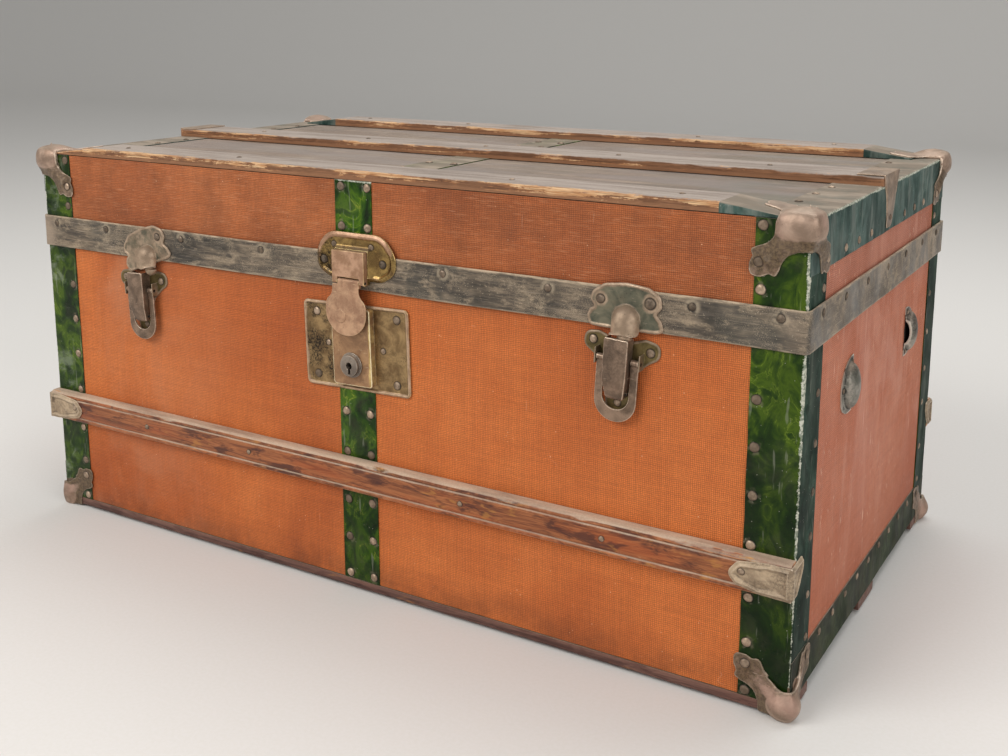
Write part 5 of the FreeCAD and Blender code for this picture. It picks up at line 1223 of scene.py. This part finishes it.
def bumper_form(zc, zdir):
    """Metal flowing from the knob into the legs: a soft union of knob, ridges and faces."""
    C = np.array([W2 - 8, -(D2 - 8), zc])
    if zdir > 0:
        K, R, power = C, 17.7, 2.55
        wide = ((16.2, 18.4), (15.8, 17.4), (15.0, 9.6))
        zt, arch = H + TIN + 1.2, None
        ends = [((XO - 30, -YO - 0.6, zt - 30), 15.0, 2.2), ((XO + 0.6, -YO + 30, zt - 30), 13.0, 2.0),
                ((XO - 33, -YO + 24, zt - 2.0), 15.0, 1.6)]
    else:
        K, R, power = np.array([402.4, -218.4, 0.4]), 12.6, 2.1
        wide = ((12.4, 12.6), (12.6, 12.6), (11.9, 11.2))
        zt, arch = -TIN - 8 - 1.2, ([0, 9, 16, 20, 22.5, 25, 30], [14.5, 15, 18, 23, 30, 34.5, 60])
        ends = [((XO - 24.5, -YO + 1.2, 15.5), 9.4, 1.0), ((XO - 0.8, -YO + 24, 22.0), 8.6, 1.0)]
    faces = (XO + 1.2, -(YO + 1.2), zt + (0.2 if zdir > 0 else 0))

    def knob(p):
        q = p - K
        # each way out from the knob's middle has its own reach: +x, -x, +y, -y, outward z, inward z
        r = np.stack([np.where(q[:, 0] > 0, wide[0][0], wide[0][1]), np.where(q[:, 1] > 0, wide[1][0], wide[1][1]),
                      np.where(q[:, 2] * zdir > 0, wide[2][0], wide[2][1])], 1)
        return ((np.abs(q / r) ** power).sum(1) ** (1 / power) - 1) * R

    def ridges(p):
        f = np.full(len(p), 99.0)
        for e, r0, rr in ends:
            d = np.array(e) - K
            t = np.clip(((p - K) @ d) / (d @ d), 0, 1)
            cone = np.linalg.norm(p - K - t[:, None] * d, axis=1) - (r0 + (rr - r0) * t)
            f = np.minimum(f, np.where(t > 0.02, cone, 99.0))
        return f

    def field(p):
        f = smin(knob(p), ridges(p), 4.0 if zdir > 0 else 3.0)
        box = np.maximum(p[:, 0] - faces[0], -(p[:, 1] - faces[1]))
        box = np.maximum(box, zdir * (p[:, 2] - faces[2]))
        return smin(f, box, 9.0 if zdir > 0 else 6.0)

    def run(me):
        co, no = coords(me) * 1000, normals(me)
        sx = np.where(co[:, 0] < 0, -1.0, 1.0)
        sy = np.where(co[:, 1] - YS > 0, -1.0, 1.0)
        p = np.stack([co[:, 0] * sx, (co[:, 1] - YS) * sy, co[:, 2] - ZS], 1)
        n = np.stack([no[:, 0] * sx, no[:, 1] * sy, no[:, 2]], 1)
        ball = 1 - smoothstep(np.linalg.norm(p - C, axis=1), 18.4, 20.5)
        p0 = p.copy()
        w = None
        for _ in range(8):
            f = field(p)
            g = np.stack([field(p + np.eye(3)[c] * 0.05) - f for c in range(3)], 1) / 0.05
            g /= np.maximum(np.linalg.norm(g, axis=1), 1e-6)[:, None]
            if w is None:
                w = smoothstep((n * g).sum(1), 0.1, 0.55)
                wi = w * ball
                w = w * smoothstep(-np.abs(f), -8.0, -6.0)
            p = p - g * (np.where(f < 0, f * w, f * wi))[:, None]
        if arch:
            # the knob doesn't stand above the sheet's curved edge; the curve itself opens wider
            along = np.clip(XO - p0[:, 0], 0, None) + np.clip(p0[:, 1] + YO, 0, None)
            level = np.interp(along, *arch)
            hide = smoothstep(p0[:, 2] - level, 0.3, 0.9) * (np.linalg.norm(p0 - C, axis=1) < 18.6)
            side = p0[:, 0] > XO
            lift = np.where(side, np.interp(along, [0, 6, 12, 18, 23, 27], [1.0, 0.2, -1.0, -1.2, -0.4, 0]),
                            np.interp(along, [0, 5, 10, 15, 19, 21.5, 24.5], [1.6, 2.2, 3.6, 4.0, 3.4, 2.2, 0]))
            near = smoothstep(p0[:, 2] - level, -9.0, -0.5)
            p[:, 2] += lift * near * (1 - hide)
            p[:, 0] = np.where(p[:, 0] > XO - 3, p[:, 0] + (XO - 3 - p[:, 0]) * hide, p[:, 0])
            p[:, 1] = np.where(p[:, 1] < -YO + 3, p[:, 1] + (-YO + 3 - p[:, 1]) * hide, p[:, 1])
            p[:, 2] -= 7.0 * hide
        # the knobs on the left are flatter, knocked in by use
        hit = np.where(sx < 0, 0.55 if zdir > 0 else 0.0, 1.0)
        p[:, 0] = np.where(p[:, 0] > XO + 1.2, XO + 1.2 + (p[:, 0] - XO - 1.2) * hit, p[:, 0])
        if zdir < 0:
            flat = np.where(sx < 0, 0.35, 1.0)
            p[:, 1] = np.where(p[:, 1] < -YO - 1.2, -YO - 1.2 + (p[:, 1] + YO + 1.2) * flat, p[:, 1])
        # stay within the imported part's outline
        p[:, 0] = np.minimum(p[:, 0], 416.9)
        p[:, 1] = np.maximum(p[:, 1], -234.4 + 0.434)
        if zdir > 0:
            p[:, 2] = np.minimum(p[:, 2], 396.9 - ZS)
        else:
            p[:, 2] = np.maximum(p[:, 2], -ZS + 0.02)
        put(me, np.stack([p[:, 0] * sx, p[:, 1] * sy + YS, p[:, 2] + ZS], 1) / 1000)
        near = smoothstep(-np.linalg.norm(p - C, axis=1), -32, -20) * w
        relax(me, near, 8)
        # dirt and painted shade where the knob and the ridges meet the sheet, and painted shade in the hollow under the
        # knob
        foot = np.minimum(knob(p), ridges(p))
        dirt_and_shade = np.exp(-((foot - 2.6) / 1.5) ** 2) * 0.9
        if zdir > 0:
            dirt_and_shade *= 0.45 + 0.55 * smoothstep(K[2] - p[:, 2], -6, 6)
            dirt_and_shade = np.maximum(dirt_and_shade, 0.98 * smoothstep(K[2] - p[:, 2], 3, 10) * (1 - 0.25 * smoothstep(K[2] - p[:, 2], 24, 36)))
        else:
            dirt_and_shade = np.maximum(dirt_and_shade * 0.8, 1.1 * smoothstep(XO - p[:, 0], 11, 15) * (1 - smoothstep(XO - p[:, 0], 24, 30))
                               * smoothstep(foot, 0.5, 2.0) * (p[:, 0] < XO) * smoothstep(12 - p[:, 2], 0, 8))
            dirt_and_shade = np.maximum(dirt_and_shade, 0.85 * smoothstep(foot, 1.5, 4.0))
            dirt_and_shade = np.where(sx < 0, dirt_and_shade + 0.4, dirt_and_shade)
        set_attr(me, "dirt_and_shade", dirt_and_shade)
    return run


def edge_distance(me, ax, lo, hi, limit=0.55, out=None):
    """mm in the plate's plane from the cut edge between two depths."""
    co, no = coords(me) * 1000, normals(me)
    depth = out(co)
    pick = (depth > lo) & (depth < hi) & (np.abs(no[:, ax]) < limit)
    keep = [c for c in range(3) if c != ax]
    pts = co[pick][:, keep]
    t = kdtree.KDTree(len(pts))
    for i, q in enumerate(pts):
        t.insert((q[0], q[1], 0), i)
    t.balance()
    d = np.full(len(co), 20.0)
    for i, q in enumerate(co[:, keep]):
        d[i] = min(20.0, t.find((q[0], q[1], 0))[2])
    return d, depth


front_depth = lambda co: -(co[:, 1] - YS) - D2


def push_front(me, h):
    """Raise the outward-facing skin of a front fitting by h mm."""
    co, no = coords(me), normals(me)
    w = smoothstep(-no[:, 1], 0.3, 0.8)
    co[:, 1] -= h * w / 1000
    put(me, co)


def nail_mask(me, r0, r1):
    return 1 - smoothstep(nail_distance(me), r0, r1)


def lock_plate_form(me):
    d, depth = edge_distance(me, 1, 0.7, 1.3, out=front_depth)
    outer = depth > 1.1
    push_front(me, np.where(outer, 0.9 * np.exp(-((d - 1.9) / 1.25) ** 2), 0))
    set_attr(me, "tone", np.where(outer, np.exp(-((d - 1.4) / 1.9) ** 2) * 0.95, 0))


def hasp_plate_form(me):
    d, depth = edge_distance(me, 1, 2.9, 4.0, out=front_depth)
    co = coords(me) * 1000
    x, z = co[:, 0], co[:, 2] - ZS
    plate = (depth > 3.9) & (depth < 5.0)
    dx = np.maximum(np.maximum(-14.8 - x, x - 20.2), 0)
    dz = np.maximum(np.maximum(291 - z, z - 313.8), 0)
    rim = 1.5 * np.exp(-((d - 3.0) / 2.1) ** 2)
    skirt = 3.4 * np.exp(-(np.hypot(dx, dz * 1.6) / 3.4) ** 2) * (z > 290.4)
    push_front(me, np.where(plate, rim + skirt, 0))
    top = smoothstep(z, 305, 322)
    tone = np.where(plate, np.exp(-((d - 2.6) / 2.6) ** 2) * (0.35 + 0.8 * top), 0)
    tone = np.where(depth > 8, 1.2, tone)
    set_attr(me, "tone", tone)


def catch_form(cx, cz):
    def run(me):
        d, depth = edge_distance(me, 1, 2.9, 4.0, out=front_depth)
        co = coords(me) * 1000
        x, z = co[:, 0], co[:, 2] - ZS
        plate = (depth > 3.9) & (depth < 4.7)
        push_front(me, np.where(plate, 0.75 * np.exp(-((d - 1.5) / 1.1) ** 2), 0))
        rim = np.exp(-((d - 1.2) / 2.4) ** 2)
        near = nail_mask(me, 0.8, 5.5)
        dome = 1 - smoothstep(np.hypot(x - cx, z - cz), 11.5, 14.0)
        whole = 0.55 if cx < 0 else 0.16
        set_attr(me, "tone", np.where(plate, np.maximum(np.maximum(np.maximum(rim * 0.85, near * 0.75), dome * 0.6), whole), 1.3))
        c2 = coords(me) * 1000
        yc = YS - D2 - 3.2
        dz = cz - c2[:, 2] + ZS
        rad = np.hypot(c2[:, 0] - cx, c2[:, 1] - yc)
        on = (depth > 4.9) * smoothstep(13.4 - np.hypot(rad, dz), 0, 1.2) * smoothstep(dz, 0.0, 3.0)
        ball = np.sqrt(np.clip(11.8 ** 2 - np.clip(dz, 0, 11.8) ** 2, 1.0, None))
        grow = np.clip((11.8 + 0.06 * dz) / ball, 1, 2.6)
        grow = 1 + (grow - 1) * on * smoothstep(rad / ball, 0.35, 0.8)
        c2[:, 0] = cx + (c2[:, 0] - cx) * grow
        c2[:, 1] = np.where(c2[:, 1] < yc, yc + (c2[:, 1] - yc) * grow, c2[:, 1])
        c2[:, 1] = np.maximum(c2[:, 1], -234.4 + 0.0)
        low = smoothstep(dz, 11.2, 12.2)
        c2[:, 0] += (c2[:, 0] - cx) * 0.25 * low * (depth > 4.9)
        put(me, c2 / 1000)
    return run


def clamp_form(sy):
    def run(me):
        co = coords(me) * 1000
        no = normals(me)
        y = sy * (co[:, 1] - YS)
        front = np.abs(co[:, 0]) < XO + 0.6
        dep = lambda c: sy * (c[:, 1] - YS) - YO - 10.8
        d, depth = edge_distance(me, 1, 0.15, 0.95, limit=0.5, out=dep)
        h = np.where((depth > 0.6) & front, 1.5 * np.exp(-((d - 3.2 + 1.4 * (fbm(co / 1000, 120, 2, 8) - 0.5)) / 1.5) ** 2) + 2.2 * (fbm(co / 1000, 150, 2, 4) - 0.5) * smoothstep(d, 4.5, 6.5), 0)
        w = smoothstep(sy * no[:, 1], 0.3, 0.8)
        cc = coords(me)
        cc[:, 1] += sy * h * w / 1000
        dep2 = lambda c: np.abs(c[:, 0]) - XO
        d2, depth2 = edge_distance(me, 0, 0.15, 0.95, limit=0.5, out=dep2)
        h2 = np.where(depth2 > 0.6, 1.5 * np.exp(-((d2 - 2.4) / 1.2) ** 2), 0)
        w2 = smoothstep(np.sign(co[:, 0]) * no[:, 0], 0.3, 0.8)
        cc[:, 0] += np.sign(co[:, 0]) * h2 * w2 / 1000
        cc[:, 1] = np.clip(cc[:, 1], -0.23452, 0.23452)
        put(me, cc)
    return run


def base_form(me):
    d, depth = edge_distance(me, 1, -0.2, 0.9, out=front_depth)
    push_front(me, np.where((depth > 0.9) & (depth < 1.8), 0.45 * np.exp(-((d - 1.2) / 1.0) ** 2), 0))
    set_attr(me, "tone", np.where(depth < 1.9, np.exp(-((d - 0.9) / 1.2) ** 2), 1.2))


def lever_form(me):
    co = coords(me) * 1000
    right = co[:, 0].mean() > 0
    yp = -225.566
    dy, dz = co[:, 1] - yp, co[:, 2] - (238.556 - 0.0612 * (co[:, 0] - 259.669) if right else 231.529 + 0.0437 * (co[:, 0] + 264.191))
    # the foot, below the pin's lug, curls in and narrows, and stays off the plate through the lever's turn
    t = np.clip((-dz - 2.8) / 3.2, 0, 1)
    turn = np.radians(np.linspace(0, 35, 15))[:, None]
    most = ((3.95 + dz * np.sin(turn)) / np.cos(turn)).min(0)
    dy = np.where(t > 0, np.minimum(dy + 1.6 * t ** 2, np.maximum(dy, most)), dy)
    xm = (co[:, 0].min() + co[:, 0].max()) / 2
    co[:, 1] = yp + dy
    co[:, 0] = xm + (co[:, 0] - xm) * (1 - 0.08 * t ** 2)
    # the face is bowed across
    x0, x1 = co[:, 0].min(), co[:, 0].max()
    bow = np.clip(1 - ((co[:, 0] - (x0 + x1) / 2) / (x1 - x0) * 2) ** 2, 0, 1)
    co[:, 1] -= 0.5 * bow * smoothstep(-normals(me)[:, 1], 0.5, 0.9)
    co[:, 1] = np.maximum(co[:, 1], -234.4)
    put(me, co / 1000)


def handle_cap(sx, sy):
    """Hood with a flange: the mouth is low and faces the middle, the back is closed."""
    hh = np.linspace(-23.0, 24.5, 72)
    aa = np.linspace(0, 1, 46)
    tm = np.interp(hh, [-23, -22, -18, -13, -5, 4, 12, 18, 22, 24, 24.5], [10, 17, 26, 30, 31.4, 31.2, 27.5, 22, 15, 8, 4])
    h, a = np.meshgrid(hh, aa, indexing="ij")
    t = a * tm[:, None]
    mid = (9.5, 0.5)
    st = np.where(t > mid[0], 16.6, 11.4)
    r = np.sqrt(((t - mid[0]) / st) ** 2 + ((h - mid[1]) / (19.6 - 0.10 * np.clip(t - mid[0], 0, 20))) ** 2)
    dome = 8.7 * np.sqrt(np.clip(1 - np.clip(r, 0, 1) ** 2.3, 0, 1))
    soft = (fbm(np.stack([t.ravel() / 1000, h.ravel() / 1000, np.full(t.size, sx * 0.3 + sy * 0.7)], 1), 60, 2, 9) - 0.5).reshape(t.shape)
    x = 1.0 + dome * (1 + 0.10 * soft) + 0.55 * np.exp(-((r - 1.05) / 0.05) ** 2)
    n, m = t.shape
    out = np.stack([W2 + x, 90 + t, 222 + h], -1).reshape(-1, 3)
    inn = np.stack([W2 + np.maximum(x - 0.9, 0.12), 90 + t, 222 + h * 0.985 + 0.01], -1).reshape(-1, 3)
    v = np.concatenate([out, inn])
    q = n * m
    f = []
    for i in range(n - 1):
        for j in range(m - 1):
            k = i * m + j
            f.append((k, k + 1, k + m + 1, k + m))
            f.append((q + k, q + k + m, q + k + m + 1, q + k + 1))
    rim = [i * m for i in range(n)] + [(n - 1) * m + j for j in range(1, m)] + [i * m + m - 1 for i in range(n - 2, -1, -1)] + [j for j in range(m - 2, 0, -1)]
    for i in range(len(rim)):
        b, c = rim[i], rim[(i + 1) % len(rim)]
        f.append((b, c, q + c, q + b))
    # a dark sheet behind the mouth, standing for the shade inside it
    ang = np.linspace(0, 2 * math.pi, 40, endpoint=False)
    lv = [(W2 + d, 90 + 12.5 + 11.6 * math.cos(g), 222 + 17 * math.sin(g)) for d in (0.05, 0.5) for g in ang]
    lf = [tuple(range(40)), tuple(range(79, 39, -1))] + [(i, 40 + i, 40 + (i + 1) % 40, (i + 1) % 40) for i in range(40)]
    sgn = np.array([sx, sy, 1.0])
    return [(v * sgn, f), (np.array(lv) * sgn, lf)]


for side, sx in (("left", -1), ("right", 1)):
    me = joined("handle_cap_" + side, handle_cap(sx, -1) + handle_cap(sx, 1))
    fix_normals(me)
    set_attr(me, "tone", np.zeros(len(me.vertices)))
    masks(me, smooth=3)
    co = coords(me) * 1000
    # painted shade: the flange and the dark sheet inside the mouth are marked as deep hollows so they take the dark
    # colour
    mouth_shade = smoothstep(1.2 - (np.abs(co[:, 0]) - W2), 0, 0.6) * (np.abs(co[:, 1] - YS) < 90 + 24.5) * (np.abs(co[:, 2] - ZS - 222) < 17.3)
    we = np.zeros(len(me.vertices))
    me.attributes["surface_convexity"].data.foreach_get("value", we)
    set_attr(me, "surface_convexity", we - 0.5 * mouth_shade)
    sharpen(me, 50)
    new_object("handle_cap_" + side, me, "trunk_body", MAT["steel_cap"], "dark_steel", "handle_caps_" + side)


pressed("corner_bumpers_top", "top_bumpers", "trunk_lid", "steel_bumper", "steel", 0.00065, 5, 0.00012, 0.0, bumper_form(H - 6.5, 1))
pressed("corner_bumpers_low", "bottom_bumpers", "trunk_body", "steel_bumper", "steel", 0.00065, 5, 0.0, 0.0, bumper_form(6.1, -1))
pressed("slat_clamps_front", "front_slat_clamps", "trunk_body", "steel_clamp", "steel", 0.00045, 3, 0.0002, 0.0, clamp_form(-1))
pressed("slat_clamps_rear", "rear_slat_clamps", "trunk_body", "steel_clamp", "steel", 0.00045, 3, 0.0002, 0.0, clamp_form(1))


def tongue_form(me):
    co = coords(me) * 1000
    z, y = co[:, 2] - ZS, co[:, 1] - YS
    down = np.clip((H + 6 - z) / 45, 0, 1) * (np.abs(co[:, 0]) > XO + 0.3)
    co[:, 1] += 3.0 * np.sin(down * math.pi * 0.9) - 5.0 * down ** 2
    put(me, co / 1000)


pressed("slat_clamps_top", "top_slat_clamps", "trunk_lid", "steel", "steel", 0.00045, 4, 0.0002, 0.0, tongue_form)
pressed("lock_plate_brass", "lock_plate", "trunk_body", "brass", "brass", 0.00045, 4, 0.00012, 0.0, lock_plate_form)
def case_form(me):
    co = coords(me) * 1000
    x1, z1 = co[:, 0].max(), co[:, 2].max()
    n = normals(me)
    # a bright gold band along the right and top edges, stronger where the edge faces front: worn brass with a painted
    # highlight
    r = np.exp(-((co[:, 0] - x1 + 0.6) / 2.6) ** 2) * (0.35 + 0.75 * smoothstep(-n[:, 1], -0.2, 0.5))
    t = np.exp(-((co[:, 2] - z1 + 0.6) / 1.8) ** 2) * smoothstep(co[:, 0] - x1, -18, -2)
    set_attr(me, "tone", np.maximum(r, t))


pressed("lock_case_brass", "lock_case", "trunk_body", "brass_bright", "brass", 0.0004, 5, 0.0001, 0.0, case_form)
pressed("keyhole_ring", "keyhole_nozzle", "trunk_body", "ring", "brass", 0.0003, 4, 0.0)
pressed("hasp_plate_brass", "hasp_plate", "trunk_lid", "brass_hasp", "brass", 0.0004, 4, 0.0001, 0.0, hasp_plate_form)
pressed("hasp_flap_brass", "hasp_flap", "hasp", "hasp", "brass", 0.0004, 6, 0.00008)
for s, cx, cz in (("left", -254.07, 281.15), ("right", 266.5, 286.0)):
    pressed("latch_plate_" + s, "latch_base_" + s, "trunk_body", "steel_base", "steel", 0.0004, 4, 0.00008, 0.0, base_form)
    pressed("latch_tongue_" + s, "latch_lever_" + s, "lever_" + s, "steel_latch", "steel", 0.0004, 14, 0.0, 0.0, lever_form)
    pressed("latch_ring_" + s, "latch_loop_" + s, "loop_" + s, "steel_latch", "steel", 0.0004, 7, 0.0)
    pressed("latch_catch_" + s, "catch_plate_" + s, "trunk_lid", "steel_catch", "steel", 0.00045, 6, 0.00008, 0.0, catch_form(cx, cz))

for n in ("hasp_staple", "hasp_pin", "lock_bolt", "latch_pins", "hinge_pins", "hinge_body_leaves", "hinge_lid_leaves"):
    nodes[n].data.materials.clear()
    nodes[n].data.materials.append(MAT["dark"])
    w = nodes[n].modifiers.new("weld", "WELD")
    w.merge_threshold = 1e-6
    b = nodes[n].modifiers.new("bevel", "BEVEL")
    b.width, b.segments, b.limit_method = 0.00025, 2, "ANGLE"


# ------------------------------------------------------------------ nail heads
def nail_heads(name, node, body):
    prof = [(0.0, 1.0), (0.22, 0.97), (0.45, 0.87), (0.66, 0.70), (0.83, 0.46), (0.94, 0.22), (1.0, 0.06), (1.0, -0.04), (0.86, -0.06)]
    seg = 18
    vs, fs, rnd, low, base = [], [], [], [], 0
    for k, (c, d, r) in enumerate(NAILS[node]):
        s = 1000 + 37 * k + len(name)
        r1 = [float(_hash(np.int64(s), np.int64(q), np.int64(3), 5)) for q in range(6)]
        d = Vector(d)
        t = d.orthogonal().normalized()
        b = d.cross(t)
        tilt = Matrix.Rotation((r1[0] - 0.5) * 0.14, 3, t) @ Matrix.Rotation((r1[1] - 0.5) * 0.14, 3, b)
        h = r * 0.46 * (0.92 + 0.12 * r1[2])
        rr = r * (0.96 + 0.05 * r1[3])
        dentc = Vector(((r1[4] - 0.5) * 0.9, (r1[5] - 0.5) * 0.9))
        ring0 = None
        for q, (pr, pz) in enumerate(prof):
            cnt = 1 if q == 0 else seg
            for a in range(cnt):
                ang = 2 * math.pi * a / seg
                x, y = pr * math.cos(ang), pr * math.sin(ang)
                dd = (x - dentc.x) ** 2 + (y - dentc.y) ** 2
                z = pz - 0.10 * math.exp(-dd * 6) * (1 if pz > 0.3 else 0)
                wob = 1 + 0.03 * math.sin(3 * ang + 9 * r1[2])
                p = Vector(c) + tilt @ (t * (x * rr * wob) + b * (y * rr * wob)) + d * (z * h)
                vs.append(p)
                rnd.append(r1[5])
                low.append(0.0 if pr < 0.9 else 1.0)
        for a in range(seg):
            fs.append((base, base + 1 + a, base + 1 + (a + 1) % seg))
        for q in range(1, len(prof) - 1):
            for a in range(seg):
                i0, i1 = base + 1 + (q - 1) * seg, base + 1 + q * seg
                fs.append((i0 + a, i1 + a, i1 + (a + 1) % seg, i0 + (a + 1) % seg))
        last = base + 1 + (len(prof) - 2) * seg
        fs.append(tuple(last + a for a in reversed(range(seg))))
        base += 1 + (len(prof) - 1) * seg
    me = make_mesh(name, vs, fs)
    fix_normals(me)
    masks(me, nail=False, smooth=1)
    set_attr(me, "tone", rnd)
    set_attr(me, "rim_shade", low)
    co = coords(me) * 1000
    co[:, 1] = np.clip(co[:, 1], -234.5, 234.5)
    put(me, co / 1000)
    z, out = co[:, 2] - ZS, np.maximum(np.abs(co[:, 0]) - W2, np.abs(co[:, 1] - YS) - D2)
    set_attr(me, "dark", ((z > 276) & (z < 311) & (out > 2.4) & (body == "trunk_lid")) * 1.0)
    new_object(name, me, body, MAT["nail"], "nail", node)


nail_heads("nails_binding_body", "body_binding_nails", "trunk_body")
nail_heads("nails_binding_lid", "lid_binding_nails", "trunk_lid")
nail_heads("nails_fitting_body", "body_fitting_nails", "trunk_body")
nail_heads("nails_fitting_lid", "lid_fitting_nails", "trunk_lid")

# ------------------------------------------------------------------ studio
me = bpy.data.meshes.new("floor")
g, R, back = [], 9.0, 4.0
prof = [(-R, 0.0), (back, 0.0)] + [(back + 1.6 * math.sin(a), 1.6 * (1 - math.cos(a))) for a in np.linspace(0.15, math.pi / 2, 10)] + [(back + 1.6, 7.0)]
verts = [(x, y, z) for (y, z) in prof for x in (-R, R)]
faces = [(2 * i, 2 * i + 1, 2 * i + 3, 2 * i + 2) for i in range(len(prof) - 1)]
me.from_pydata(verts, [], faces)
me.polygons.foreach_set("use_smooth", [True] * len(me.polygons))
floor = bpy.data.objects.new("floor", me)
bpy.context.scene.collection.objects.link(floor)
M = Mat("floor_pale")
me.materials.append(M.done(M.mix(M.map(M.noise(300, 2), 0.3, 0.7), "#dad9d6", "#dcdbd9"), 0.85, 0, None, spec=0.1))

world = bpy.data.worlds.new("studio")
bpy.context.scene.world = world
world.use_nodes = True
world.node_tree.nodes["Background"].inputs[0].default_value = (1.0, 0.985, 0.965, 1)
world.node_tree.nodes["Background"].inputs[1].default_value = 0.42


def area(name, loc, target, size, power, color=(1, 1, 1)):
    l = bpy.data.lights.new(name, "AREA")
    l.shape, l.size, l.size_y, l.energy, l.color = "RECTANGLE", size[0], size[1], power, color
    o = bpy.data.objects.new(name, l)
    bpy.context.scene.collection.objects.link(o)
    o.location = loc
    o.rotation_euler = (Vector(target) - Vector(loc)).to_track_quat("-Z", "Y").to_euler()
    return o


area("key", (-1.3, -2.6, 2.3), (0, 0, 0.2), (2.4, 1.6), 72, (1.0, 0.97, 0.93))
area("fill", (2.7, -1.2, 1.5), (0.2, 0, 0.2), (1.8, 1.8), 30, (1.0, 0.98, 0.96))
area("top", (0.3, 0.9, 2.8), (0, 0, 0.3), (2.4, 1.6), 40, (1.0, 0.98, 0.96))

cam = bpy.data.cameras.new("camera")
cam.sensor_width = 36.0
cam.sensor_fit = "HORIZONTAL"
cam.lens = 1204.17 / 1008 * 36.0
cam.shift_x, cam.shift_y = 0.0, -129.39 / 1008
cam.clip_start, cam.clip_end = 0.05, 50
co = bpy.data.objects.new("camera", cam)
bpy.context.scene.collection.objects.link(co)
co.location = mm(650.10, -1041.49, 518.27)
co.rotation_euler = (math.pi / 2 - 0.1943, 0.0006, 0.5428)
bpy.context.scene.camera = co
bpy.context.scene.view_settings.view_transform = "Standard"
bpy.context.scene.view_settings.look = "None"
